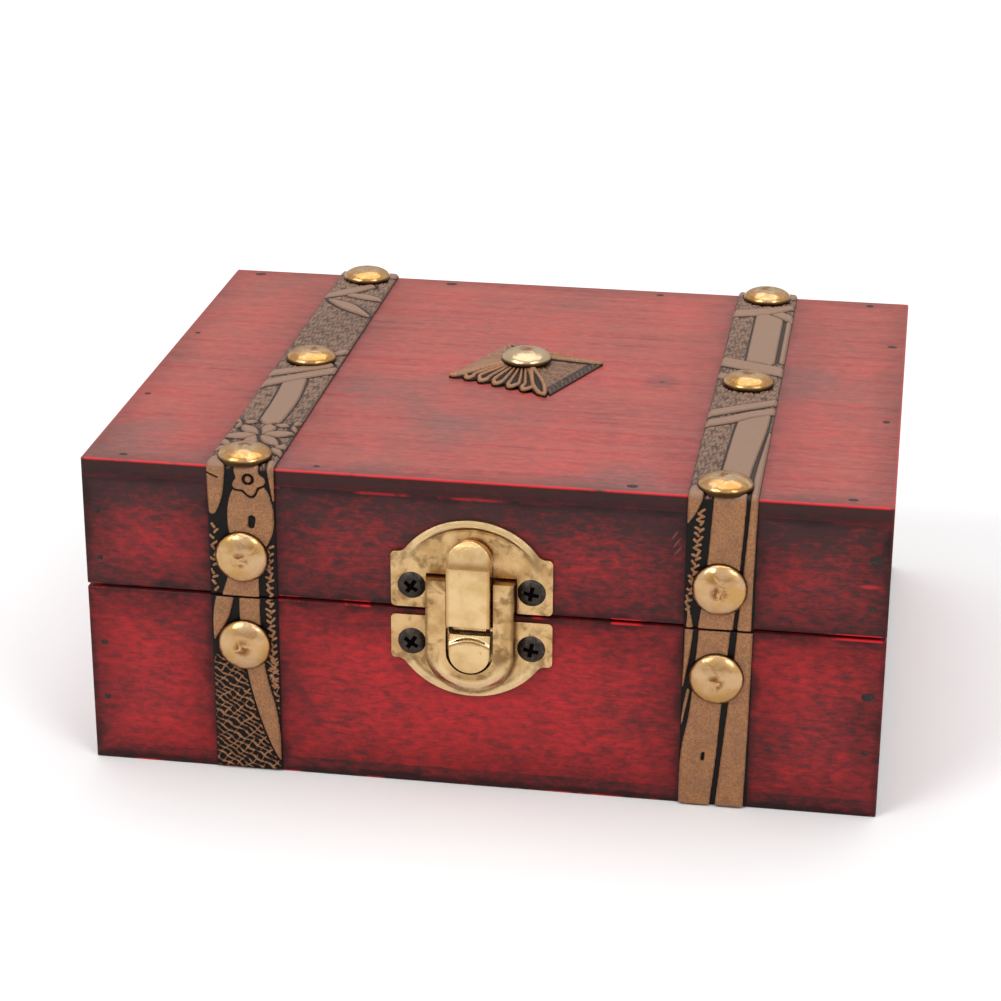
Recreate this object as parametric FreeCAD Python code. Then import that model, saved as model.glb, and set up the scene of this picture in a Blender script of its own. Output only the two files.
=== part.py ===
import FreeCAD, Part
import math
import os

os.makedirs("parts", exist_ok=True)
Vector = FreeCAD.Vector

# A small wooden chest: a base box, a lid box hinged behind it, leather straps, brass studs and a brass latch.
# Millimetres. The origin is the middle of the underside, +X to the right, +Y to the back, +Z up.

# Wooden box: outside sizes, boards, and the open joint between base and lid
box_width = 135.0
box_depth = 107.0
base_height = 32.5
lid_height = 23.0
lid_joint = 0.5
wall = 5.0
top_panel = 3.0
floor_panel = 3.0

# Fits that serve all pieces
overrun = 1.0
shank_fit = 0.05
running_fit = 0.05
moving_clearance = 0.3

# Headless brads, driven flush through one board into the edge of the next
brad_side = 1.1
brad_length = 12.0
brad_point = 1.1
front_brad_shares = (-0.90, -0.41, 0.37, 0.90)
back_brad_shares = (-0.92, -0.34, 0.28, 0.89)
left_brad_shares = (-0.40, 0.24)
right_brad_shares = (-0.26, 0.50)
base_corner_brad_shares = (0.30, 0.65)
lid_corner_brad_shares = (0.25, 0.68)

# Leather straps, one to each side, cut where the lid parts from the base
strap_width = 11.5
strap_thickness = 0.8
strap_place_share = 0.593
strap_foot = 0.4

# Domed studs with a short square shank
stud_radius = 4.6
stud_dome = 2.0
stud_shank_side = 1.3
stud_point = 0.9
shank_depth_share = 0.8
edge_stud_inset = 3.3
base_stud_share = 0.74
lid_stud_share = 0.313

# Pressed leather ornament in the middle of the lid: a low pyramid with fluted faces
ornament_side = 20.5
ornament_edge = 0.45
ornament_rise = 2.05
ornament_seat = 7.0
ornament_x = -0.4
ornament_y = 1.6
ornament_turn_deg = -22.0
flutes_per_face = 6
flute_inner_half = 0.2
flute_outer_half = 0.9
flute_depth_share = 0.45

# Latch, pressed from brass sheet: heights are counted up and down from the joint of the lid
latch_x = -1.1
latch_sheet = 0.6
plate_corner = 0.8
plate_shoulder = 2.0
plate_shoulder_round = 1.6
plate_margin = 1.15
upper_plate_foot = 0.35
upper_plate_shoulder = 10.3
upper_plate_apex = 16.5
lower_plate_head = 1.1
lower_plate_shoulder = 9.1
lower_plate_apex = 15.35

# Rails of the lower plate, which run up over the lid and carry the lever's pin
rail_width = 3.4
rail_top = 6.3
rail_cover = 0.4
bowl_wall = 4.1
bowl_slope = 3.6
bowl_shift = 5.4
bowl_spread_share = 2.0
notch_gap = 0.2
notch_head = 0.35

# Lever: a hollow cap with a sloping tip above its pin, and a thumb tab below
lever_width = 7.3
lever_sheet = 0.6
lever_gap = 0.35
lever_depth = 2.9
lever_tip = 13.6
lever_tip_arch = 2.7
lever_nose_depth = 0.8
lever_nose_drop = 0.7
lever_nose_run = 0.6
lever_fold = 9.25
lever_foot = 1.05
lever_ear_radius = 1.0
lever_ear_set = 2.0
lever_pin_drop = 2.1
lever_pin_radius = 0.5
tab_width = 6.9
tab_head = 3.4
tab_fold = 4.9
tab_fold_set = 0.9
tab_end = 10.05
tab_proud = 0.2

# Catch pressed out of the upper plate, under the lever's tip
catch_width = 4.4
catch_height = 0.6
catch_foot = 9.9
catch_length = 2.4

# Leaf spring between the lower plate and the thumb tab
spring_width = 4.0
spring_leaf = 0.3
spring_foot_top = 3.7
spring_foot_end = 5.2
spring_tip = 9.0
spring_touch = 0.05

# Latch screws and hinge screws
latch_screw_head = 2.4
latch_screw_dome = 0.9
latch_screw_shank = 1.0
latch_screw_gap = 0.1
upper_screw_rise = 4.35
lower_screw_drop = 5.9
hinge_screw_head = 1.5
hinge_screw_dome = 0.6
hinge_screw_shank = 0.7
screw_tip_share = 0.4
recess_length_share = 1.1
recess_width_share = 0.3
recess_depth_share = 0.6

# Butt hinges on the back, beside the straps
hinge_strap_gap = 4.3
hinge_width = 16.0
hinge_leaf_height = 8.0
hinge_sheet = 0.6
hinge_corner = 1.0
hinge_screw_inset = 3.0
knuckle_radius = 1.3
knuckle_middle = 5.2
knuckle_gap = 0.3
hinge_pin_radius = 0.7

# Places worked out from the sizes above
half_width = box_width / 2
half_depth = box_depth / 2
lid_bottom = base_height + lid_joint
split_height = base_height + lid_joint / 2
box_height = lid_bottom + lid_height
lid_wall_top = box_height - top_panel
strap_x = strap_place_share * half_width
side_wall_x = half_width - wall / 2
end_wall_y = half_depth - wall / 2
hinge_x = strap_x - strap_width / 2 - hinge_strap_gap - hinge_width / 2
hinge_axis_y = half_depth + knuckle_radius

lever_half = lever_width / 2
slot_half = lever_half + lever_gap
rail_half = slot_half + rail_width
notch_half = rail_half + notch_gap
latch_screw_x = notch_half + latch_screw_gap + latch_screw_head
plate_half = latch_screw_x + latch_screw_head + plate_margin
arch_half = plate_half - plate_shoulder
pin_out = latch_sheet + moving_clearance + lever_ear_radius
rail_height = pin_out + lever_pin_radius + rail_cover
lever_back = latch_sheet + catch_height + moving_clearance
lever_front = lever_back + lever_depth
tab_front = rail_height + tab_proud
tab_back = tab_front - lever_sheet
tab_half = tab_width / 2


# Small helpers

def line(start, end):
    return Part.LineSegment(start, end).toShape()


def arc(start, middle, end):
    return Part.Arc(start, middle, end).toShape()


def face_within(*edges):
    return Part.Face(Part.Wire(edges))


def polygon(points):
    return Part.Face(Part.makePolygon(points + points[:1]))


def block(low, high):
    size = high - low
    return Part.makeBox(size.x, size.y, size.z, low)


def placed(shape, placement):
    copy = shape.copy()
    copy.Placement = placement
    return copy


def at_each(shape, placements):
    return [placed(shape, placement) for placement in placements]


def rounded(shape, radius, wanted):
    return shape.makeFillet(radius, [edge for edge in shape.Edges if wanted(edge)])


def save(name, *shapes):
    solids = [solid for shape in shapes for solid in shape.Solids]
    result = solids[0] if len(solids) == 1 else Part.makeCompound(solids)
    result.exportStep("parts/" + name + ".step")


# Places for things that are driven or set into the four outsides, with their head along the outward normal

def on_front(x, z, out=0):
    return FreeCAD.Placement(Vector(x, -half_depth - out, z), FreeCAD.Rotation(Vector(1, 0, 0), 90))


def on_back(x, z, out=0):
    return FreeCAD.Placement(Vector(x, half_depth + out, z), FreeCAD.Rotation(Vector(1, 0, 0), -90))


def on_top(x, y, out=0):
    return FreeCAD.Placement(Vector(x, y, box_height + out), FreeCAD.Rotation())


def on_underside(x, y):
    return FreeCAD.Placement(Vector(x, y, 0), FreeCAD.Rotation(Vector(1, 0, 0), 180))


# Fasteners: each stands with its head at the origin and its point down, and its hole is the same with a fit

def spike(side, length, point, fit=0, head=0):
    half = side / 2 + fit
    shoulder, end = -length + point, -length - fit
    profile = [(-half, head), (half, head), (half, shoulder), (0, end), (-half, shoulder)]
    return polygon([Vector(x, -half, z) for x, z in profile]).extrude(Vector(0, 2 * half, 0))


def taper(radius, length, fit=0, head=0):
    tip_radius = screw_tip_share * radius
    shank = Part.makeCone(tip_radius + fit, radius + fit, length, Vector(0, 0, -length))
    if head == 0:
        return shank
    return shank.fuse(Part.makeCylinder(radius + fit, head))


def dome(radius, height):
    bend = (radius ** 2 + height ** 2) / (2 * height)
    half_radius = radius / 2
    half_way = math.sqrt(bend ** 2 - half_radius ** 2) - bend + height
    centre, rim, crown = Vector(0, 0, 0), Vector(radius, 0, 0), Vector(0, 0, height)
    curve = arc(rim, Vector(half_radius, 0, half_way), crown)
    section = face_within(line(centre, rim), curve, line(crown, centre))
    return section.revolve(centre, Vector(0, 0, 1), 360)


def stud(shank_length):
    return dome(stud_radius, stud_dome).fuse(spike(stud_shank_side, shank_length, stud_point))


def screw(head_radius, head_height, shank_radius, shank_length):
    half_length = head_radius * recess_length_share / 2
    half_slot = head_radius * recess_width_share / 2
    recess_floor = head_height * (1 - recess_depth_share)
    slots = [block(Vector(-x, -y, recess_floor), Vector(x, y, head_height + overrun))
             for x, y in ((half_length, half_slot), (half_slot, half_length))]
    return dome(head_radius, head_height).cut(slots).fuse(taper(shank_radius, shank_length))


# Places of the fasteners

def panel_brads(place):
    rows = [place(share * half_width, -end_wall_y) for share in front_brad_shares]
    rows += [place(share * half_width, end_wall_y) for share in back_brad_shares]
    rows += [place(-side_wall_x, share * half_depth) for share in left_brad_shares]
    rows += [place(side_wall_x, share * half_depth) for share in right_brad_shares]
    return rows


def corner_brads(bottom, top, shares):
    heights = [bottom + share * (top - bottom) for share in shares]
    return [place(side * side_wall_x, z)
            for place in (on_front, on_back) for side in (-1, 1) for z in heights]


def strap_studs(height):
    return [place(side * strap_x, height, strap_thickness)
            for place in (on_front, on_back) for side in (-1, 1)]


def hinge_screws(height):
    spread = hinge_width / 2 - hinge_screw_inset
    return [on_back(side * hinge_x + step, height, hinge_sheet)
            for side in (-1, 1) for step in (-spread, spread)]


base_corner_places = corner_brads(floor_panel, base_height, base_corner_brad_shares)
lid_corner_places = corner_brads(lid_bottom, lid_wall_top, lid_corner_brad_shares)
floor_brad_places = panel_brads(on_underside)
top_brad_places = panel_brads(on_top)
base_stud_places = strap_studs(base_stud_share * base_height)
edge_stud_y = half_depth - edge_stud_inset
lid_stud_places = strap_studs(lid_bottom + lid_stud_share * lid_height)
lid_stud_places += [on_top(side * strap_x, row * edge_stud_y, strap_thickness)
                    for side in (-1, 1) for row in (-1, 0, 1)]
ornament_height = ornament_edge + ornament_rise
ornament_stud_place = on_top(ornament_x, ornament_y, ornament_height)
upper_screw_places = [on_front(latch_x + side * latch_screw_x, split_height + upper_screw_rise, latch_sheet)
                      for side in (-1, 1)]
lower_screw_places = [on_front(latch_x + side * latch_screw_x, split_height - lower_screw_drop, latch_sheet)
                      for side in (-1, 1)]
leaf_start = knuckle_radius + moving_clearance
hinge_screw_rise = leaf_start + hinge_leaf_height / 2
upper_hinge_screw_places = hinge_screws(split_height + hinge_screw_rise)
lower_hinge_screw_places = hinge_screws(split_height - hinge_screw_rise)

stud_shank = strap_thickness + shank_depth_share * top_panel
ornament_shank = ornament_height + shank_depth_share * top_panel
latch_shank = latch_sheet + shank_depth_share * wall
hinge_shank = hinge_sheet + shank_depth_share * wall

brad_hole = spike(brad_side, brad_length, brad_point, shank_fit)
stud_hole = spike(stud_shank_side, stud_shank, stud_point, shank_fit, overrun)
ornament_hole = spike(stud_shank_side, ornament_shank, stud_point, shank_fit, overrun)
latch_hole = taper(latch_screw_shank, latch_shank, shank_fit, overrun)
hinge_hole = taper(hinge_screw_shank, hinge_shank, shank_fit, overrun)

base_holes = at_each(brad_hole, base_corner_places + floor_brad_places) + at_each(stud_hole, base_stud_places)
base_holes += at_each(latch_hole, lower_screw_places) + at_each(hinge_hole, lower_hinge_screw_places)
lid_holes = at_each(brad_hole, lid_corner_places + top_brad_places) + at_each(stud_hole, lid_stud_places)
lid_holes += at_each(latch_hole, upper_screw_places) + at_each(hinge_hole, upper_hinge_screw_places)
lid_holes.append(placed(ornament_hole, ornament_stud_place))


# Boards: the long walls run the full width and the side walls stand between them

def save_walls(box_name, bottom, top, holes):
    inner_y = half_depth - wall
    inner_x = half_width - wall
    boards = {
        "front_wall": (Vector(-half_width, -half_depth, bottom), Vector(half_width, -inner_y, top)),
        "back_wall": (Vector(-half_width, inner_y, bottom), Vector(half_width, half_depth, top)),
        "left_wall": (Vector(-half_width, -inner_y, bottom), Vector(-inner_x, inner_y, top)),
        "right_wall": (Vector(inner_x, -inner_y, bottom), Vector(half_width, inner_y, top)),
    }
    for board_name, (low, high) in boards.items():
        save(box_name + "_" + board_name, block(low, high).cut(holes))


def save_panel(name, bottom, top, holes):
    panel = block(Vector(-half_width, -half_depth, bottom), Vector(half_width, half_depth, top))
    save(name, panel.cut(holes))


# Straps

def base_strap(x, side):
    inner, outer = side * half_depth, side * (half_depth + strap_thickness)
    low = Vector(x - strap_width / 2, min(inner, outer), strap_foot)
    high = Vector(x + strap_width / 2, max(inner, outer), base_height)
    return block(low, high).cut(base_holes)


def lid_strap(x):
    left = x - strap_width / 2
    outer_y = half_depth + strap_thickness
    outer_z = box_height + strap_thickness
    outside = block(Vector(left, -outer_y, lid_bottom), Vector(left + strap_width, outer_y, outer_z))
    outside = rounded(outside, strap_thickness, lambda edge: edge.BoundBox.ZMin > box_height
                      and edge.BoundBox.YLength < strap_thickness)
    inside = block(Vector(left - overrun, -half_depth, lid_bottom - overrun),
                   Vector(left + strap_width + overrun, half_depth, box_height))
    return outside.cut(inside).cut(lid_holes)


# Ornament: flutes fan out from the seat of its stud to the edges

def square(side, z):
    half = side / 2
    corners = [Vector(x, y, z) for x, y in ((-half, -half), (half, -half), (half, half), (-half, half))]
    return Part.makePolygon(corners + corners[:1])


def flute_section(point, sideways, half):
    depth = Vector(0, 0, flute_depth_share * half)
    reach = sideways * (2 * half)
    corners = [point - depth, point + depth - reach, point + depth + reach]
    return Part.makePolygon(corners + corners[:1])


def flute(share, turn):
    sideways = turn.multVec(Vector(1, 0, 0))
    inner = turn.multVec(Vector(share * ornament_seat / 2, -ornament_seat / 2, ornament_height))
    outer = turn.multVec(Vector(share * ornament_side / 2, -ornament_side / 2, ornament_edge))
    past_edge = outer + (outer - inner).normalize() * overrun
    sections = [flute_section(inner, sideways, flute_inner_half),
                flute_section(past_edge, sideways, flute_outer_half)]
    return Part.makeLoft(sections, True, True)


def lid_ornament():
    body = Part.makeLoft([square(ornament_side, 0), square(ornament_side, ornament_edge),
                          square(ornament_seat, ornament_height)], True, True)
    shares = [(2 * number + 1) / flutes_per_face - 1 for number in range(flutes_per_face)]
    turns = [FreeCAD.Rotation(Vector(0, 0, 1), 90 * face) for face in range(4)]
    body = body.cut([flute(share, turn) for turn in turns for share in shares])
    turn = FreeCAD.Rotation(Vector(0, 0, 1), ornament_turn_deg)
    seated = FreeCAD.Placement(Vector(ornament_x, ornament_y, box_height), turn)
    return placed(body, seated).cut(lid_holes)


# Latch: points are given from the latch's middle, outward from the wood and up from the joint of the lid

def latch_point(x, out, rise):
    return Vector(latch_x + x, -half_depth - out, split_height + rise)


def outward(face, depth):
    return face.extrude(Vector(0, -depth, 0))


def across(profile, half):
    points = [latch_point(-half, out, rise) for out, rise in profile]
    return polygon(points).extrude(Vector(2 * half, 0, 0))


def latch_block(half, low_out, high_out, low_rise, high_rise):
    return block(latch_point(-half, high_out, low_rise), latch_point(half, low_out, high_rise))


def latch_plate(foot, shoulder, apex):
    steps = [(plate_half, shoulder), (plate_half, foot), (-plate_half, foot), (-plate_half, shoulder),
             (-arch_half, shoulder)]
    points = [latch_point(arch_half, 0, shoulder)] + [latch_point(x, 0, rise) for x, rise in steps]
    sides = [line(start, end) for start, end in zip(points, points[1:])]
    arch = arc(points[-1], latch_point(0, 0, apex), points[0])
    plate = outward(face_within(*sides, arch), latch_sheet)
    for radius, place in ((plate_corner, plate_half), (plate_shoulder_round, arch_half)):
        plate = rounded(plate, radius, lambda edge: edge.BoundBox.YLength > latch_sheet / 2
                        and edge.BoundBox.XLength < shank_fit
                        and abs(abs(edge.CenterOfMass.x - latch_x) - place) < shank_fit)
    return plate


def latch_upper_plate():
    plate = latch_plate(upper_plate_foot, upper_plate_shoulder, upper_plate_apex)
    notch = latch_block(notch_half, -overrun, latch_sheet + overrun,
                        upper_plate_foot - overrun, rail_top + notch_head)
    catch_root, catch_out = latch_sheet / 2, latch_sheet + catch_height
    catch_middle, catch_end = catch_foot + catch_length / 2, catch_foot + catch_length
    catch = across([(catch_root, catch_foot), (latch_sheet, catch_foot), (catch_out, catch_middle),
                    (latch_sheet, catch_end), (catch_root, catch_end)], catch_width / 2)
    return plate.cut(notch).fuse(catch).cut(lid_holes).removeSplitter()


def round_ended(half, head, end, out):
    spring_line = end + half
    left_top, right_top = latch_point(-half, out, head), latch_point(half, out, head)
    left_end, right_end = latch_point(-half, out, spring_line), latch_point(half, out, spring_line)
    return face_within(line(left_end, left_top), line(left_top, right_top), line(right_top, right_end),
                       arc(right_end, latch_point(0, out, end), left_end))


def latch_frame():
    slot_end = -tab_end - lever_gap
    frame_end = slot_end - bowl_wall
    spring_line = frame_end + rail_half
    frame = outward(round_ended(rail_half, rail_top, frame_end, 0), rail_height)
    slot = outward(round_ended(slot_half, rail_top + overrun, slot_end, 0), rail_height + overrun)
    over_lid = latch_block(rail_half + overrun, -overrun, moving_clearance,
                           -lower_plate_head, rail_top + overrun)
    return frame.cut([slot, over_lid, bowl_cut(frame_end, spring_line)])


def bowl_cut(frame_end, spring_line):
    front_radius = rail_half + bowl_shift - bowl_slope
    centre = latch_point(0, 0, spring_line + bowl_shift)
    height = rail_height + overrun
    wide, narrow = bowl_spread_share * rail_height, bowl_spread_share * overrun
    cone = Part.makeCone(front_radius + wide, front_radius - narrow, height, centre, Vector(0, -1, 0))
    return latch_block(rail_half + overrun, 0, height, frame_end - overrun, spring_line).cut(cone)


def latch_lower_plate():
    plate = latch_plate(-lower_plate_head, -lower_plate_shoulder, -lower_plate_apex)
    body = plate.fuse(latch_frame()).removeSplitter()
    channel_half = rail_width / 2 - latch_sheet
    channel_low, channel_high = rail_half - tab_end - lever_gap - bowl_wall, rail_top - latch_sheet
    for side in (-1, 1):
        middle = side * (slot_half + rail_width / 2)
        low = latch_point(middle - channel_half, rail_height - latch_sheet, channel_low)
        high = latch_point(middle + channel_half, -overrun, channel_high)
        body = body.cut(block(low, high))
    return body.cut(latch_pin(shank_fit / 2, overrun)).cut(base_holes)


def latch_pin(fit=0, extra=0):
    start = latch_point(-rail_half - extra, pin_out, -lever_pin_drop)
    return Part.makeCylinder(lever_pin_radius + fit, 2 * (rail_half + extra), start, Vector(1, 0, 0))


def cap_section(inset):
    tip, back = lever_tip - inset, lever_back
    nose = lever_nose_depth - inset / 2
    slope_run = lever_depth - lever_nose_depth - lever_nose_run
    slope_rise = lever_tip - lever_nose_drop - lever_fold
    fold_angle = math.atan2(slope_run, slope_rise)
    shift = inset * math.tan(fold_angle / 2)
    return [(back, -lever_foot), (back, tip), (back + nose, tip),
            (back + nose + lever_nose_run, tip - lever_nose_drop),
            (lever_front - inset, lever_fold - shift), (lever_front - inset, -lever_foot)]


def cap_front(half, tip):
    shoulder = tip - lever_tip_arch
    low_left, low_right = latch_point(-half, 0, -lever_foot), latch_point(half, 0, -lever_foot)
    left, right = latch_point(-half, 0, shoulder), latch_point(half, 0, shoulder)
    return face_within(line(low_left, left), arc(left, latch_point(0, 0, tip), right), line(right, low_right),
                       line(low_right, low_left))


def lever_cap(inset):
    half = lever_half - inset
    front = outward(cap_front(half, lever_tip - inset), lever_front + overrun)
    return front.common(across(cap_section(inset), half))


def latch_lever():
    hollow_mouth = latch_block(lever_half - lever_sheet, 0, lever_back, -lever_foot, lever_fold)
    cap = lever_cap(0).cut([lever_cap(lever_sheet), hollow_mouth])
    tab_section = [(tab_back, -tab_end), (tab_front, -tab_end), (tab_front, -tab_fold),
                   (tab_front - tab_fold_set, -tab_head), (tab_back - tab_fold_set, -tab_head),
                   (tab_back, -tab_fold)]
    tab = outward(round_ended(tab_half, -tab_head, -tab_end, 0), tab_front + overrun)
    tab = tab.common(across(tab_section, tab_half))
    ear_section = [(lever_back, -lever_foot), (lever_front - lever_ear_set, -lever_foot),
                   (tab_front - tab_fold_set, -tab_head), (tab_back, -tab_fold),
                   (pin_out, -lever_pin_drop - lever_ear_radius), (pin_out - lever_ear_radius, -lever_pin_drop)]
    ears = across(ear_section, tab_half).cut(latch_block(tab_half - lever_sheet, 0, lever_front, -tab_end, 0))
    eye = Part.makeCylinder(lever_ear_radius, 2 * tab_half, latch_point(-tab_half, pin_out, -lever_pin_drop),
                            Vector(1, 0, 0))
    eye = eye.cut(latch_block(tab_half - lever_sheet, 0, lever_front, -tab_end, 0))
    body = cap.fuse([tab, ears, eye]).removeSplitter()
    return body.cut(latch_pin(running_fit, overrun))


def latch_spring():
    seat, touch = latch_sheet, tab_back - spring_touch
    face = seat + spring_leaf
    profile = [(seat, -spring_foot_top), (seat, -spring_foot_end), (touch - spring_leaf, -spring_tip),
               (touch, -spring_tip), (touch, -spring_tip + spring_leaf), (face, -spring_foot_end),
               (face, -spring_foot_top)]
    return across(profile, spring_width / 2)


# Hinges: the base's leaf has the two outer knuckles and the lid's leaf the middle one

def knuckle(x, length):
    start = Vector(x - length / 2, hinge_axis_y, split_height)
    return Part.makeCylinder(knuckle_radius, length, start, Vector(1, 0, 0))


def hinge_pin(x, fit=0, extra=0):
    start = Vector(x - hinge_width / 2 - extra, hinge_axis_y, split_height)
    return Part.makeCylinder(hinge_pin_radius + fit, hinge_width + 2 * extra, start, Vector(1, 0, 0))


def hinge_leaf(x, way, holes):
    near = split_height + way * leaf_start
    far = near + way * hinge_leaf_height
    outside = half_depth + hinge_sheet
    half = hinge_width / 2
    leaf = block(Vector(x - half, half_depth, min(near, far)), Vector(x + half, outside, max(near, far)))
    leaf = rounded(leaf, hinge_corner, lambda edge: edge.BoundBox.YLength > hinge_sheet / 2
                   and abs(edge.CenterOfMass.z - far) < hinge_corner)
    outer_length = (hinge_width - knuckle_middle) / 2 - knuckle_gap
    outer_x = half - outer_length / 2
    knuckles = [(0, knuckle_middle)] if way > 0 else [(-outer_x, outer_length), (outer_x, outer_length)]
    for step, length in knuckles:
        low = Vector(x + step - length / 2, half_depth, min(split_height, near))
        high = Vector(x + step + length / 2, outside, max(split_height, near))
        leaf = leaf.fuse([knuckle(x + step, length), block(low, high)])
    return leaf.removeSplitter().cut(hinge_pin(x, running_fit, overrun)).cut(holes)


# Base
save_walls("base", floor_panel, base_height, base_holes)
save_panel("base_floor", 0, floor_panel, base_holes)
brad = spike(brad_side, brad_length, brad_point)
save("base_corner_brads", *at_each(brad, base_corner_places))
save("base_floor_brads", *at_each(brad, floor_brad_places))
for side_name, side in (("left", -1), ("right", 1)):
    save("base_front_" + side_name + "_strap", base_strap(side * strap_x, -1))
    save("base_back_" + side_name + "_strap", base_strap(side * strap_x, 1))
strap_stud = stud(stud_shank)
save("base_studs", *at_each(strap_stud, base_stud_places))

# Lid
save_walls("lid", lid_bottom, lid_wall_top, lid_holes)
save_panel("lid_top_panel", lid_wall_top, box_height, lid_holes)
save("lid_corner_brads", *at_each(brad, lid_corner_places))
save("lid_top_brads", *at_each(brad, top_brad_places))
save("lid_left_strap", lid_strap(-strap_x))
save("lid_right_strap", lid_strap(strap_x))
save("lid_studs", *at_each(strap_stud, lid_stud_places))
save("lid_ornament", lid_ornament())
save("ornament_stud", placed(stud(ornament_shank), ornament_stud_place))

# Latch
latch_screw = screw(latch_screw_head, latch_screw_dome, latch_screw_shank, latch_shank)
save("latch_upper_plate", latch_upper_plate())
save("latch_upper_screws", *at_each(latch_screw, upper_screw_places))
save("latch_lower_plate", latch_lower_plate())
save("latch_lower_screws", *at_each(latch_screw, lower_screw_places))
save("latch_lever", latch_lever())
save("latch_pin", latch_pin())
save("latch_spring", latch_spring())

# Hinges
hinge_screw = screw(hinge_screw_head, hinge_screw_dome, hinge_screw_shank, hinge_shank)
for side_name, side in (("left", -1), ("right", 1)):
    save(side_name + "_hinge_lid_leaf", hinge_leaf(side * hinge_x, 1, lid_holes))
    save(side_name + "_hinge_base_leaf", hinge_leaf(side * hinge_x, -1, base_holes))
    save(side_name + "_hinge_pin", hinge_pin(side * hinge_x))
save("hinge_lid_screws", *at_each(hinge_screw, upper_hinge_screw_places))
save("hinge_base_screws", *at_each(hinge_screw, lower_hinge_screw_places))
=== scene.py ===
import math
import random

import bmesh
import bpy
import numpy as np
from mathutils import Matrix, Vector
from mathutils.bvhtree import BVHTree


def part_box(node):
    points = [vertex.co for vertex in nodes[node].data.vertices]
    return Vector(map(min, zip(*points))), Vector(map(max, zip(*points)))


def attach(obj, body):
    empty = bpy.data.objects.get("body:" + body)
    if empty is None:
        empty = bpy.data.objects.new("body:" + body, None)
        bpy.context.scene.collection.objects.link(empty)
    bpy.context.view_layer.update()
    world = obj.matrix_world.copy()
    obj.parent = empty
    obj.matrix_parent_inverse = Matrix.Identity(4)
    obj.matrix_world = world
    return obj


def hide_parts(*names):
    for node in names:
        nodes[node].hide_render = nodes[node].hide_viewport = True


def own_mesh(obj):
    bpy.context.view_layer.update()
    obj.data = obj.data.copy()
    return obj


# A small red chest with embossed straps, brass studs and a brass latch. Metres, +Z up, front towards -Y.
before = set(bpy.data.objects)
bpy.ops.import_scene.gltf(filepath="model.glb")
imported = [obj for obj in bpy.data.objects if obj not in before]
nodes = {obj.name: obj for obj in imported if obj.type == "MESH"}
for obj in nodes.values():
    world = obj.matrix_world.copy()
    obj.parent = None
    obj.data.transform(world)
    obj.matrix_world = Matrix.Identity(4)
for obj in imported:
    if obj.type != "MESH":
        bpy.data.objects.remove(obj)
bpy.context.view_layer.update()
mm = 0.001

woodLow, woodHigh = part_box("base_floor")[0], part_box("lid_top_panel")[1]
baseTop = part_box("base_front_wall")[1].z
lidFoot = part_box("lid_front_wall")[0].z
frontY, backY = woodLow.y, woodHigh.y
lidTop = woodHigh.z
strapLow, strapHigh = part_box("base_front_right_strap")
strapMiddle = (strapLow.x + strapHigh.x) / 2
strapWidth = strapHigh.x - strapLow.x
latchMiddle = (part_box("latch_lower_plate")[0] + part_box("latch_upper_plate")[1]) / 2 / mm
latchMiddle.y = frontY / mm
print("frame loaded:", len(nodes), "nodes")


# Shader helpers. A Value holds one output socket, so masks and heights are worked out as plain sums.

class Value:
    def __init__(self, socket):
        self.socket = socket
        self.tree = socket.id_data

    def math(self, operation, first, second=0.0):
        return addValue(self.tree, "ShaderNodeMath", {0: first, 1: second}, operation=operation)

    def __add__(self, other):
        return self.math("ADD", self, other)

    def __sub__(self, other):
        return self.math("SUBTRACT", self, other)

    def __rsub__(self, other):
        return self.math("SUBTRACT", other, self)

    def __mul__(self, other):
        return self.math("MULTIPLY", self, other)

    def __abs__(self):
        return self.math("ABSOLUTE", self)

    def atLeast(self, other):
        return self.math("MAXIMUM", self, other)

    def atMost(self, other):
        return self.math("MINIMUM", self, other)


def plug(socket, value):
    if isinstance(value, Value):
        value.tree.links.new(value.socket, socket)
    else:
        socket.default_value = value


def addNode(tree, kind, inputs=None, **settings):
    node = tree.nodes.new(kind)
    for key, value in settings.items():
        setattr(node, key, value)
    for key, value in (inputs or {}).items():
        plug(node.inputs[key], value)
    return node


def addValue(tree, kind, inputs=None, output=0, **settings):
    return Value(addNode(tree, kind, inputs, **settings).outputs[output])


def feed(node, **inputs):
    for label, value in inputs.items():
        plug(node.inputs[label.replace("_", " ")], value)


def outputsOf(node):
    return {socket.name: Value(socket) for socket in node.outputs}


def smooth(value, low, high):
    return addValue(value.tree, "ShaderNodeMapRange", {0: value, 1: low, 2: high},
                    interpolation_type="SMOOTHSTEP")


def mixColour(share, first, second):
    return addValue(share.tree, "ShaderNodeMix", {0: share, 6: first, 7: second}, 2, data_type="RGBA")


def noise(place, scale, detail=3.0, roughness=0.55, distortion=0.0):
    inputs = {"Vector": place, "Scale": scale, "Detail": detail, "Roughness": roughness,
              "Distortion": distortion}
    return addValue(place.tree, "ShaderNodeTexNoise", inputs, "Fac")


def stretched(place, scale, move=(0, 0, 0)):
    return addValue(place.tree, "ShaderNodeMapping", {"Vector": place, "Scale": scale, "Location": move})


def axesOf(place):
    return [Value(socket) for socket in addNode(place.tree, "ShaderNodeSeparateXYZ", {0: place}).outputs]


def inPlane(first, second):
    return addValue(first.tree, "ShaderNodeCombineXYZ", {0: first, 1: second})


def distance(place, middle):
    return addValue(place.tree, "ShaderNodeVectorMath", {0: place, 1: middle}, "Value", operation="DISTANCE")


def lengthOf(vector):
    return addValue(vector.tree, "ShaderNodeVectorMath", {0: vector}, "Value", operation="LENGTH")


def attribute(tree, name):
    return addValue(tree, "ShaderNodeAttribute", output="Fac", attribute_name=name)


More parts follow.
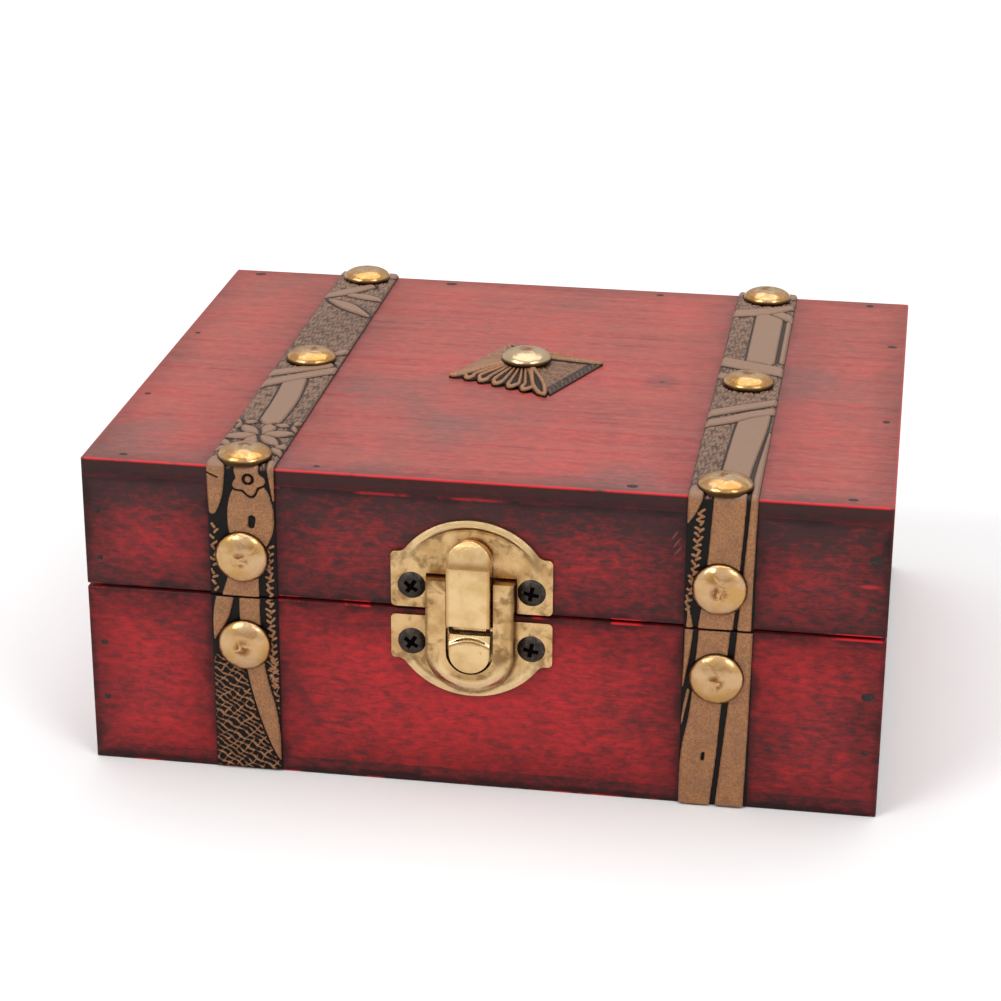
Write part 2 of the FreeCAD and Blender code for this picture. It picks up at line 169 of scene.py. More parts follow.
def newGroup(name, ins, outs):
    tree = bpy.data.node_groups.new(name, "ShaderNodeTree")
    for label, kind, value in ins:
        socket = tree.interface.new_socket(label, in_out="INPUT", socket_type=kind)
        if value is not None:
            socket.default_value = value
    for label in outs:
        tree.interface.new_socket(label, in_out="OUTPUT", socket_type="NodeSocketFloat")
    given = outputsOf(tree.nodes.new("NodeGroupInput"))
    return tree, given, tree.nodes.new("NodeGroupOutput")


def placeGroup(group, place, **inputs):
    node = addNode(place.tree, "ShaderNodeGroup", node_tree=group)
    feed(node, Place=place, **inputs)
    return outputsOf(node)


def newMaterial(name, **values):
    # the third thing it gives is the place on the piece, in mm
    material = bpy.data.materials.new(name)
    material.use_nodes = True
    shader = material.node_tree.nodes["Principled BSDF"]
    feed(shader, **values)
    place = addValue(material.node_tree, "ShaderNodeTexCoord", output="Object")
    return material, shader, stretched(place, (1000, 1000, 1000))


def addBump(shader, height, depth, strength):
    inputs = {"Height": height, "Distance": depth, "Strength": strength}
    feed(shader, Normal=addValue(height.tree, "ShaderNodeBump", inputs))


# Shared effect: soot in the corners, beside the straps and on the panels' edges, and arrises worn bright
edgeLook = {"core": 3.8, "halo": 11.0, "sootOnTop": 7.0, "ragged": 3.0, "worn": 0.46, "panel": 3.0,
            "latch": 14.0, "rubbed": -17.0}


def coreAndHalo(away):
    core = smooth(away, edgeLook["core"], -0.8)
    halo = smooth(away, edgeLook["halo"], -2.0) * 0.62
    return core.atLeast(halo)


def makeEdgeGroup():
    tree, given, result = newGroup("boxEdges", [("Place", "NodeSocketVector", None)], ["Soot", "Worn"])
    place = given["Place"]
    x, y, z = axesOf(place)
    asideX = abs(x)
    fromX = woodHigh.x / mm - asideX
    fromY = woodHigh.y / mm - abs(y)
    planes = [abs(z - height) for height in (0, baseTop / mm, lidFoot / mm, lidTop / mm)]
    fromFloor, fromTop = planes[0], planes[3]
    fromZ = fromFloor
    for plane in planes[1:]:
        fromZ = fromZ.atMost(plane)
    smaller = fromX.atMost(fromY)
    larger = fromX.atLeast(fromY)
    arris = smaller.atLeast(larger.atMost(fromZ))
    cloud = noise(stretched(place, (0.16, 0.16, 0.22)), 1.0, 6.0, 0.62)
    ragged = (cloud - 0.5) * (edgeLook["ragged"] * 2)
    uneven = arris + ragged
    onTop = smooth(fromTop, 0.34, 0.12)
    onSide = 1.0 - onTop

    # soot in the corners, beside the straps, round the latch and on the edges of the panels
    topSoot = smooth(uneven, edgeLook["sootOnTop"], -1.5) * onTop
    soot = coreAndHalo(uneven) * onSide + topSoot * 0.42
    offStrap = abs(asideX - strapMiddle / mm) - strapWidth / mm / 2 + ragged
    soot = soot.atLeast(coreAndHalo(offStrap) * (0.92 - onTop * 0.42))
    fromLatch = distance(place, latchMiddle) - edgeLook["latch"] + ragged
    soot = soot.atLeast(smooth(fromLatch, 5.0, -1.0) * 0.4)
    rough = ragged * 0.5
    panelTop = smooth(fromTop + rough, edgeLook["panel"] + 2.4, edgeLook["panel"] - 0.3)
    panelFoot = smooth(fromFloor + rough, edgeLook["panel"] - 0.2, edgeLook["panel"] - 2.4)
    soot = soot.atLeast(panelTop.atLeast(panelFoot) * onSide * 0.95)
    outside = smooth(smaller.atMost(fromFloor.atMost(fromTop)), 0.55, 0.40)
    feed(result, Soot=soot * outside)

    # worn arrises, less on the upright ones and at the ends, and a rubbed line under the top panel
    nick = noise(stretched(place, (0.1, 0.1, 0.1), (0.7, 0.2, 0.3)), 1.0, 5.0, 0.65)
    ridge = smooth(arris, edgeLook["worn"], edgeLook["worn"] * 0.35)
    shown = smooth(nick, 0.50, 0.60) + smooth(fromTop, 1.0, 0.2) * smooth(nick, 0.32, 0.46)
    worn = ridge * shown.atMost(1.0)
    worn = worn * (1.0 - smooth(larger, 0.9, 0.4) * 0.75)
    worn = worn * (1.0 - smooth(fromX, 0.9, 0.4) * 0.6)
    seam = smooth(abs(fromTop - (edgeLook["panel"] + 0.2)), 0.34, 0.10) * smooth(nick, 0.47, 0.60)
    offRub = abs(x - edgeLook["rubbed"])
    seam = seam * (smooth(offRub, 24.0, 16.0) * 0.8 + 0.2)
    feed(result, Worn=worn.atLeast(seam * 0.5) * outside)
    return tree


# Shared effect: tarnish in spots and brushed scratches, for every brass piece
def makeTarnishGroup():
    ins = [("Place", "NodeSocketVector", None), ("Amount", "NodeSocketFloat", 0.5)]
    tree, given, result = newGroup("tarnish", ins, ["Spots", "Cloud", "Scratches"])
    place = given["Place"]
    patch = noise(place, 0.42, 4.0, 0.55, 0.5)
    speck = noise(place, 1.9, 5.0, 0.62)
    start = 0.72 - given["Amount"] * 0.22
    patch = smooth(patch, start, start + 0.20)
    spots = (patch * 0.75).atLeast(smooth(speck, 0.64, 0.74) * 0.7)
    feed(result, Spots=spots, Cloud=noise(place, 0.28, 4.0, 0.55),
         Scratches=noise(stretched(place, (9, 9, 0.5)), 1.0, 3.0))
    return tree


edgeGroup = makeEdgeGroup()
tarnishGroup = makeTarnishGroup()

# Red stained wood; the lid's walls took the stain darker and its top has faded a little
woodLook = {
    "maroon": (0.050, 0.009, 0.010, 1), "deep": (0.165, 0.008, 0.010, 1), "bright": (0.50, 0.012, 0.016, 1),
    "soot": (0.016, 0.0088, 0.0092, 1), "worn": (0.60, 0.018, 0.024, 1), "faded": (0.36, 0.073, 0.051, 1),
    "grey": (0.12, 0.058, 0.048, 1), "dust": (0.40, 0.105, 0.080, 1),
}
# broad lighter and darker places on the lid's front wall: place in mm, reach, change of tone
lidCast = [((-53, -53.5, 43), 15, 0.09), ((-24, -53.5, 45), 15, -0.07), ((21, -53.5, 41), 14, 0.10)]
# grain is the axis that the boards' fibres follow: 0 across the box, 1 from front to back
woodKinds = {
    "redWoodBase": {"grain": 0, "tone": 0.145},
    "redWoodBaseSide": {"grain": 1, "tone": 0.10},
    "redWoodLid": {"grain": 0, "tone": -0.01, "shade": 0.12, "cast": lidCast},
    "redWoodLidSide": {"grain": 1, "tone": 0.06},
    "redWoodTop": {"grain": 0, "tone": 0.16, "fade": 0.74},
    "redWoodFloor": {"grain": 0, "tone": 0.0},
}
# small marks on the wood: place in mm, reach along, reach across, strength, colour, slant in degrees
woodMarks = {
    "redWoodTop": [((24.3, 0.1, 56.0), 4.5, 4.5, 0.35, "soot", 0),
                   ((24.5, 0.0, 56.0), 0.7, 0.9, 0.8, "soot", 0)],
    "redWoodLid": [((64.4, -53.5, 42.0), 2.2, 0.45, 1, "worn", 0),
                   ((32.4, -53.5, 48.9), 1.1, 0.2, 0.6, "dust", 58),
                   ((32.8, -53.5, 47.6), 1.2, 0.2, 0.7, "dust", 55),
                   ((33.0, -53.5, 46.2), 1.1, 0.2, 0.6, "dust", 52)],
}


def alongGrain(place, grain, along, across):
    return stretched(place, [along if axis == grain else across for axis in range(3)])


def fadedTop(place, inside, mottled, fade):
    # the outer face of the lid's top: pale streaks, grey towards the front edge, and fine dust
    y, z = axesOf(place)[1:]
    pale = noise(stretched(place, (0.02, 0.5, 0.5)), 1.0, 5.0, 0.6)
    colour = mixColour(smooth(pale, 0.20, 0.66) * fade, inside, woodLook["faded"])
    grey = noise(stretched(place, (0.03, 0.03, 0.03), (5.2, 1.3, 0)), 1.0, 5.0, 0.6)
    grey = grey + smooth(y, -28.0, -56.0) * 0.13
    colour = mixColour(smooth(grey, 0.52, 0.74) * 0.6, colour, woodLook["grey"])
    colour = mixColour(smooth(mottled, 0.46, 0.70) * 0.35, colour, woodLook["dust"])
    return mixColour(smooth(z, 53.6, 54.4), inside, colour)


def markOff(place, middle, reach, reachOver, slant):
    # how far a place is from a slanting mark, in shares of its reach
    off = addValue(place.tree, "ShaderNodeVectorMath", {0: place, 1: middle}, operation="SUBTRACT")
    off = addValue(place.tree, "ShaderNodeVectorRotate", {"Vector": off, "Angle": math.radians(slant)},
                   rotation_type="Y_AXIS")
    return lengthOf(stretched(off, (1 / reach, 1 / reachOver, 1 / reachOver)))


def woodMaterial(name):
    look = woodKinds[name]
    material, shader, place = newMaterial(name, IOR=1.45)
    mottled = noise(alongGrain(place, look["grain"], 0.45, 0.95), 1.0, 6.0, 0.70, 0.3)
    fibre = noise(alongGrain(place, look["grain"], 0.35, 3.6), 1.0, 4.0, 0.6)
    blotch = noise(stretched(place, (0.045, 0.05, 0.06), (3.1, 0.4, 1.7)), 1.0, 3.0, 0.55)
    tone = mottled + blotch * 0.6 + fibre * 0.33 + (look["tone"] - 0.465)
    for middle, reach, change in look.get("cast", []):
        tone = tone + smooth(distance(place, middle), reach, reach * 0.2) * change
    if "shade" in look:
        tone = tone - smooth(axesOf(place)[2], 40.0, 52.0) * look["shade"]
    colour = mixColour(smooth(tone, 0.30, 0.55), woodLook["maroon"], woodLook["deep"])
    colour = mixColour(smooth(tone, 0.44, 0.92), colour, woodLook["bright"])
    gloss = 0.38
    if "fade" in look:
        gloss = 0.5
        colour = fadedTop(place, colour, mottled, look["fade"])
    for middle, reach, reachOver, strength, mark, slant in woodMarks.get(name, []):
        off = markOff(place, middle, reach, reachOver, slant) + (mottled - 0.5)
        colour = mixColour(smooth(off, 1.1, 0.4) * strength, colour, woodLook[mark])
    edges = placeGroup(edgeGroup, place)
    colour = mixColour(edges["Soot"] * 0.94, colour, woodLook["soot"])
    colour = mixColour(edges["Worn"], colour, woodLook["worn"])
    feed(shader, Base_Color=colour, Specular_IOR_Level=gloss - edges["Soot"] * (gloss * 0.6),
         Roughness=fibre * 0.25 + 0.30)
    addBump(shader, fibre + mottled * 0.8, 0.00010, 0.6)
    return material


# Embossed leather, bronze where it stands up and black in the ground, dusty on the lid
leatherLook = {
    "bronze": (0.255, 0.108, 0.042, 1), "pale": (0.395, 0.182, 0.076, 1), "dull": (0.150, 0.078, 0.048, 1),
    "dusty": (0.248, 0.148, 0.102, 1), "ground": (0.007, 0.005, 0.005, 1),
    "dustyGround": (0.096, 0.064, 0.052, 1),
}


def leatherMaterial(name):
    material, shader, place = newMaterial(name, Metallic=0.2, IOR=1.45)
    gilt = attribute(place.tree, "gilt")
    dust = attribute(place.tree, "dust")
    pebble = noise(place, 3.4, 4.0, 0.6)
    cloud = noise(place, 0.45, 4.0, 0.6)
    bronze = mixColour(smooth(pebble, 0.38, 0.62), leatherLook["bronze"], leatherLook["pale"])
    bronze = mixColour(smooth(cloud, 0.56, 0.36) * 0.3, bronze, leatherLook["dull"])
    bronze = mixColour(dust * 0.85, bronze, leatherLook["dusty"])
    ground = mixColour(dust, leatherLook["ground"], leatherLook["dustyGround"])
    shown = smooth(gilt + (pebble - 0.5) * 0.5, 0.20, 0.66)
    feed(shader, Base_Color=mixColour(shown, ground, bronze), Specular_IOR_Level=shown * 0.3 + 0.2,
         Roughness=pebble * 0.35 + 0.30)
    addBump(shader, pebble, 0.00014, 0.7)
    return material


# Brass in three polishes. Places are in mm: an arch or the bowl is (middle x, middle z, radius).
brassLook = {
    # the plate's bright colour is a painted highlight, and its spot colour also paints shade
    "plateBrass": {
        "clean": (0.64, 0.42, 0.20, 1), "dull": (0.47, 0.285, 0.118, 1), "spot": (0.14, 0.066, 0.022, 1),
        "bright": (0.82, 0.62, 0.34, 1), "amount": 1.15, "smooth": 0.20,
        "arches": ((-1.1, 31.38, 13.98), (-1.1, 35.21, 14.04)), "bowl": (-1.1, 25.65, 7.4),
    },
    # the lever's last three colours are painted shade, a painted glint and the painted shade in its gap
    "leverBrass": {
        "clean": (0.72, 0.50, 0.255, 1), "dull": (0.60, 0.395, 0.175, 1), "spot": (0.24, 0.12, 0.040, 1),
        "paintedShade": (0.40, 0.215, 0.065, 1), "paintedGlint": (0.95, 0.80, 0.50, 1), "dark": (0.02, 0.010, 0.004, 1),
        "amount": 0.45, "smooth": 0.14, "gap": (29.35, 31.7), "middle": -1.1, "half": 3.65, "crease": 42.0,
        "arc": 28.55,
    },
    "hingeBrass": {
        "clean": (0.66, 0.45, 0.20, 1), "dull": (0.46, 0.29, 0.12, 1), "spot": (0.15, 0.075, 0.025, 1),
        "amount": 0.70, "smooth": 0.24,
    },
}


def brassMaterial(name):
    look = brassLook[name]
    material, shader, place = newMaterial(name, Metallic=1.0)
    marks = placeGroup(tarnishGroup, place, Amount=look["amount"])
    colour = mixColour(smooth(marks["Cloud"], 0.38, 0.66), look["clean"], look["dull"])
    colour = mixColour(marks["Spots"] * 0.8, colour, look["spot"])
    height = marks["Scratches"] * 0.12
    polish = 0.0
    if "bowl" in look:
        rim = archRim(place, look["arches"])
        inner = rim * (1.0 - rim) * (smooth(marks["Cloud"], 0.30, 0.60) * 2.4)
        footGrimeAndShade, lipHighlight = bowlGrimeShadeAndHighlight(place, look["bowl"])
        # painted highlight along the turned rims, then painted shade on their inner slopes in the spot
        # colour
        colour = mixColour(rim * 0.55, colour, look["bright"])
        # painted highlight on the bowl's lip, then painted shade with some dirt along the foot of the rails
        # and bowl
        colour = mixColour(lipHighlight * 0.8, colour, look["bright"])
        colour = mixColour(inner.atLeast(footGrimeAndShade * 0.8), colour, look["spot"])
        height = height + (rim + lipHighlight) * 1.5
        polish = lipHighlight * -0.12
    if "gap" in look:
        paintedShade, paintedGlint, fold, gapShade = leverShade(place, look)
        # painted shade, a painted glint along the tab's fold and painted shade in the gap under the cap
        colour = mixColour(paintedShade, colour, look["paintedShade"])
        colour = mixColour(paintedGlint, colour, look["paintedGlint"])
        colour = mixColour(gapShade, colour, look["dark"])
        height = height + fold
    rough = marks["Spots"] * 0.25 + look["smooth"] + marks["Cloud"] * 0.16
    feed(shader, Base_Color=colour, Roughness=rough + polish)
    addBump(shader, height, 0.00025, 0.8)
    return material


def leverShade(place, look):
    # painted shade on the cap's sides and over its crease, the arched fold of the tab with painted shade
    # under it and a painted glint along it, and painted shade in the dark gap above it
    x, _, z = axesOf(place)
    aside = abs(x - look["middle"])
    sides = smooth(aside, look["half"] - 0.75, look["half"]) * 0.75
    above = z - look["crease"]
    crease = smooth(above, 1.3, 0.2) * smooth(above, -0.1, 0.15)
    off = z - look["arc"] + aside * aside * 0.078
    under = smooth(off, -0.75, -0.2) * smooth(off, 0.05, -0.15)
    paintedGlint = smooth(off, -0.1, 0.15) * smooth(off, 0.75, 0.3)
    fold = smooth(abs(off), 0.45, 0.0) * 0.9
    paintedShade = sides.atLeast(crease.atLeast(under) * 0.7)
    low, high = look["gap"]
    gapShade = smooth(z, low - 0.1, low + 0.1) * smooth(z, high + 0.1, high - 0.1)
    return paintedShade, paintedGlint * 0.8, fold, gapShade


def archRim(place, arches):
    # the turned rim along the round edges of the lower and the upper plate
    x, _, z = axesOf(place)
    lower, upper = [smooth(radius - lengthOf(inPlane(x - middleX, z - middleZ)), 2.2, 0.8)
                    for middleX, middleZ, radius in arches]
    isLid = smooth(z, baseTop / mm, lidFoot / mm)
    rim = upper * isLid + lower * (1.0 - isLid)
    return rim * smooth(abs(x - arches[0][0]), 12.2, 9.5)


def bowlGrimeShadeAndHighlight(place, bowl):
    # dirt and painted shade along the foot of the rails and of the bowl that joins them, and the bowl's lip,
    # rubbed smooth and painted with a highlight
    middleX, middleZ, radius = bowl
    x, _, z = axesOf(place)
    away = lengthOf(inPlane(x - middleX, (z - middleZ).atMost(0.0)))
    ragged = (noise(place, 0.8, 4.0, 0.6) - 0.5) * 0.7
    footGrimeAndShade = smooth(abs(away - radius) + ragged, 0.75, 0.0) * smooth(z, 39.3, 38.6)
    lipHighlight = smooth(abs(away - (radius - 1.6)), 1.5, 0.3)
    return footGrimeAndShade, lipHighlight * smooth(z, middleZ, middleZ - 3.5)


# Stud brass: a brown rubbed mark at each crown, painted shade round the rim, a painted dark reflection on
# the lid's top studs, and a silvery stud on the ornament
studLook = {
    "gold": (0.50, 0.285, 0.100, 1), "pale": (0.56, 0.36, 0.195, 1), "crown": (0.19, 0.062, 0.014, 1),
    "rim": (0.05, 0.026, 0.010, 1), "deep": (0.34, 0.165, 0.045, 1), "silvery": (0.44, 0.315, 0.19, 1),
}


def studMaterial():
    material, shader, place = newMaterial("studBrass", Metallic=1.0)
    crown = attribute(place.tree, "crown")
    marks = placeGroup(tarnishGroup, place, Amount=0.45)
    dabs = noise(place, 0.6, 4.0, 0.6, 0.9)
    height = axesOf(place)[2]
    colour = mixColour(smooth(marks["Cloud"], 0.35, 0.65), studLook["gold"], studLook["pale"])
    colour = mixColour(marks["Spots"] * 0.6, colour, studLook["crown"])
    # the studs on the lid's top are darkened in dabs, a painted dark reflection
    upper = smooth(height, 55.0, 57.0) * smooth(dabs, 0.30, 0.60)
    colour = mixColour(upper * 0.8, colour, studLook["deep"])
    colour = mixColour(smooth(height, 58.3, 58.9), colour, studLook["silvery"])
    onCrown = smooth(crown, 0.58, 0.86) * smooth(dabs, 0.40, 0.56)
    colour = mixColour(onCrown * 0.92, colour, studLook["crown"])
    # painted shade round the foot of each dome
    colour = mixColour(smooth(crown, 0.05, 0.0), colour, studLook["rim"])
    feed(shader, Base_Color=colour, Roughness=marks["Cloud"] * 0.20 + 0.15 + onCrown * 0.2)
    addBump(shader, noise(place, 0.42, 1.5, 0.4, 0.5), 0.00030, 0.7)
    return material


# Dark screws, blackened brads and spring steel
steelLook = {
    "screwBronze": {"dark": (0.020, 0.014, 0.011, 1), "light": (0.060, 0.042, 0.031, 1),
                    "metal": 0.6, "rough": 0.26},
    "bradIron": {"dark": (0.012, 0.006, 0.005, 1), "light": (0.048, 0.024, 0.019, 1),
                 "metal": 0.2, "rough": 0.62},
    "springSteel": {"dark": (0.28, 0.27, 0.25, 1), "light": (0.46, 0.44, 0.40, 1),
                    "metal": 1.0, "rough": 0.26},
}
# black painted into the screws' cross recesses, as painted shade
recessBlack = (0.003, 0.002, 0.002, 1)


def steelMaterial(name):
    look = steelLook[name]
    material, shader, place = newMaterial(name, Metallic=look["metal"])
    worn = noise(place, 1.6, 5.0, 0.6)
    recess = attribute(place.tree, "recess")
    colour = mixColour(smooth(worn, 0.40, 0.70), look["dark"], look["light"])
    # the cross in each screw head is painted black, as painted shade, and loses its sheen
    feed(shader, Base_Color=mixColour(recess, colour, recessBlack), Specular_IOR_Level=0.5 - recess * 0.5,
         Roughness=worn * 0.25 + look["rough"])
    addBump(shader, worn, 0.00004, 0.4)
    return material


woods = {name: woodMaterial(name) for name in woodKinds}
leather = leatherMaterial("bronzeLeather")
plateBrass = brassMaterial("plateBrass")
leverBrass = brassMaterial("leverBrass")
hingeBrass = brassMaterial("hingeBrass")
studBrass = studMaterial()
screwBronze = steelMaterial("screwBronze")
bradIron = steelMaterial("bradIron")
springSteel = steelMaterial("springSteel")
print("materials made:", len(bpy.data.materials))


# Piece helpers
weldDistance = 0.002 * mm
flush = 0.05 * mm


def finishPiece(bm, name, body, material, replaced=(), sharp=35):
    bm.normal_update()
    mesh = bpy.data.meshes.new(name)
    bm.to_mesh(mesh)
    bm.free()
    mesh.materials.clear()
    mesh.materials.append(material)
    mesh.shade_smooth()
    mesh.set_sharp_from_angle(angle=math.radians(sharp))
    piece = bpy.data.objects.new(name, mesh)
    bpy.context.scene.collection.objects.link(piece)
    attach(piece, body)
    if replaced:
        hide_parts(*replaced)
    return piece


def pourInto(bm, part):
    # adds a finished shape to a larger one
    spare = bpy.data.meshes.new("spare")
    part.to_mesh(spare)
    part.free()
    bm.from_mesh(spare)
    bpy.data.meshes.remove(spare)


def mergedCopy(node):
    bm = bmesh.new()
    bm.from_mesh(nodes[node].data)
    bmesh.ops.remove_doubles(bm, verts=bm.verts, dist=weldDistance)
    return bm


def solidBoxes(node):
    # lowest and highest corner of each separate solid of a node
    bm = mergedCopy(node)
    left = set(bm.verts)
    boxes = []
    while left:
        island, waiting = set(), [left.pop()]
        while waiting:
            vert = waiting.pop()
            island.add(vert.co.copy().freeze())
            for edge in vert.link_edges:
                other = edge.other_vert(vert)
                if other in left:
                    left.remove(other)
                    waiting.append(other)
        boxes.append((Vector([min(p[i] for p in island) for i in range(3)]),
                      Vector([max(p[i] for p in island) for i in range(3)])))
    bm.free()
    return sorted(boxes, key=lambda box: tuple(box[0]))


def outwardPlace(low, high):
    # where a fastener's head is and which way it faces
    middle = (low + high) / 2
    if high.z > lidTop - flush:
        return Matrix.Translation((middle.x, middle.y, lidTop))
    if low.z < flush:
        return Matrix.Translation((middle.x, middle.y, 0.06 * mm)) @ Matrix.Rotation(math.pi, 4, "X")
    if middle.y < 0:
        return Matrix.Translation((middle.x, frontY, middle.z)) @ Matrix.Rotation(math.pi / 2, 4, "X")
    return Matrix.Translation((middle.x, backY, middle.z)) @ Matrix.Rotation(-math.pi / 2, 4, "X")


def spinProfile(bm, profile, steps):
    # turns a line of (radius, height) points round the Z axis and closes its poles
    verts = [bm.verts.new((r, 0, z)) for r, z in profile]
    edges = [bm.edges.new(pair) for pair in zip(verts, verts[1:])]
    bmesh.ops.spin(bm, geom=verts + edges, cent=(0, 0, 0), axis=(0, 0, 1), angle=2 * math.pi, steps=steps,
                   use_merge=True)
    bmesh.ops.remove_doubles(bm, verts=bm.verts, dist=weldDistance / 2)
    bmesh.ops.recalc_face_normals(bm, faces=bm.faces)


# Boards
boardSet = {"arris": 0.32 * mm, "segments": 3}
boardNames = ["front_wall", "back_wall", "left_wall", "right_wall"]


def makeBoard(node, body):
    low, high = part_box(node)
    bm = bmesh.new()
    bmesh.ops.create_cube(bm, size=1)
    bmesh.ops.scale(bm, vec=high - low, verts=bm.verts)
    bmesh.ops.translate(bm, vec=(low + high) / 2, verts=bm.verts)
    # the arrises are rounded, apart from those that meet the floor or the top panel
    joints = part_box("base_floor")[1].z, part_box("lid_top_panel")[0].z
    free = []
    for edge in bm.edges:
        first, second = (vert.co.z for vert in edge.verts)
        glued = any(abs(first - joint) < flush / 5 for joint in joints)
        if not glued or abs(first - second) > mm:
            free.append(edge)
    bmesh.ops.bevel(bm, geom=free, offset=boardSet["arris"], offset_type="OFFSET", affect="EDGES",
                    segments=boardSet["segments"], profile=0.5, material=-1)
    kind = {"base_floor": "redWoodFloor", "lid_top_panel": "redWoodTop"}.get(node)
    if not kind:
        kind = "redWood" + body.capitalize() + ("Side" if "left" in node or "right" in node else "")
    return finishPiece(bm, node + "_board", body, woods[kind], [node], 60)


for boardName in boardNames:
    makeBoard("base_" + boardName, "base")
    makeBoard("lid_" + boardName, "lid")
makeBoard("base_floor", "base")
makeBoard("lid_top_panel", "lid")
print("boards made")

# Brads: small dark heads, a little proud and each a little different
bradSet = {"radius": 0.78 * mm, "proud": 0.05 * mm, "depth": 1.4 * mm, "sides": 12, "seed": 4}


def makeBrads(node, body):
    draw = random.Random(bradSet["seed"])
    bm = bmesh.new()
    for low, high in solidBoxes(node):
        head = bmesh.new()
        size = bradSet["radius"] * draw.uniform(0.8, 1.15)
        depth, proud = bradSet["depth"], bradSet["proud"]
        profile = [(0, -depth), (size, -depth), (size, 0), (size * 0.8, proud), (size * 0.35, proud * 0.7),
                   (0, proud * 0.4)]
        spinProfile(head, profile, bradSet["sides"])
        stretch = Matrix.Diagonal((draw.uniform(0.8, 1.4), draw.uniform(0.6, 1.0), 1, 1))
        bmesh.ops.transform(head, matrix=outwardPlace(low, high) @ stretch, verts=head.verts)
        pourInto(bm, head)
    return finishPiece(bm, node + "_heads", body, bradIron, [node])


for node, body in (("base_corner_brads", "base"), ("base_floor_brads", "base"), ("lid_corner_brads", "lid"),
                   ("lid_top_brads", "lid")):
    makeBrads(node, body)
print("brads made")

# Studs: low domes with a soft crown and a turned-in rim
studSet = {"dome": 2.0 * mm, "skirt": 0.35 * mm, "shankSide": 0.65 * mm, "shank": 3.2 * mm, "steps": 40,
           "rings": 9}


def studProfile(radius, lift):
    dome, skirt = studSet["dome"], studSet["skirt"]
    side, shank = studSet["shankSide"], studSet["shank"]
    profile = [(0, lift - shank), (side, lift - shank + side), (side, lift - skirt * 0.2),
               (radius * 0.93, lift - skirt), (radius * 0.985, lift - skirt), (radius, lift - skirt * 0.5)]
    rings = studSet["rings"]
    for ring in range(rings + 1):
        turn = math.pi / 2 * ring / rings
        out = radius * math.cos(turn) if ring < rings else 0
        swell = math.sin(turn) ** 0.92
        profile.append((out, lift + dome * swell * 0.985 + 0.015 * mm))
    return profile


def makeStuds(node, body, name):
    bm = bmesh.new()
    bm.verts.layers.float.new("crown")
    for low, high in solidBoxes(node):
        place = outwardPlace(low, high)
        onTop = place.to_3x3().col[2].z > 0.9
        radius = (high.x - low.x) / 2
        lift = (high.z - lidTop if onTop else max(frontY - low.y, high.y - backY)) - studSet["dome"]
        head = bmesh.new()
        layer = head.verts.layers.float.new("crown")
        spinProfile(head, studProfile(radius, lift), studSet["steps"])
        for vert in head.verts:
            rise = (vert.co.z - lift) / studSet["dome"]
            vert[layer] = max(0.0, 1 - vert.co.xy.length / radius) if rise > 0.05 else 0.0
        bmesh.ops.transform(head, matrix=place, verts=head.verts)
        pourInto(bm, head)
    return finishPiece(bm, name, body, studBrass, [node], 50)


makeStuds("base_studs", "base", "baseStuds")
makeStuds("lid_studs", "lid", "lidStuds")
makeStuds("ornament_stud", "lid", "ornamentStud")
print("studs made")


# Embossed relief: heights and gilding worked out over a fine grid, in mm across and along the leather
reliefSet = {"step": 0.16, "ground": 0.32, "ribbon": 0.80, "mark": 0.62, "soft": 0.22, "gap": 0.42,
             "edge": 0.5}


def fadeIn(value, low, high):
    t = np.clip((value - low) / (high - low), 0, 1)
    return t * t * (3 - 2 * t)


def wayOf(degrees):
    return np.array((math.cos(math.radians(degrees)), math.sin(math.radians(degrees))))


def throughPoints(points, steps=6):
    # a smooth line of (across, along, half width) through a few points
    rows = np.array([points[0]] + list(points) + [points[-1]], float)
    line = []
    for i in range(1, len(rows) - 2):
        a, b, c, d = rows[i - 1:i + 3]
        for t in np.linspace(0, 1, steps, endpoint=False):
            line.append(0.5 * (2 * b + (c - a) * t + (2 * a - 5 * b + 4 * c - d) * t * t
                               + (3 * b - a - 3 * c + d) * t ** 3))
    line.append(rows[-1])
    return np.array(line)


def awayFrom(across, along, points):
    # distance to a ribbon's edge, less than zero inside it
    line = throughPoints(points) if len(points) > 2 else np.array(points, float)
    nearest = np.full(across.shape, 1e9)
    for a, b in zip(line, line[1:]):
        run = b[:2] - a[:2]
        t = np.clip(((across - a[0]) * run[0] + (along - a[1]) * run[1]) / max(run @ run, 1e-9), 0, 1)
        gap = np.hypot(across - a[0] - t * run[0], along - a[1] - t * run[1]) - (a[2] + t * (b[2] - a[2]))
        nearest = np.minimum(nearest, gap)
    return nearest


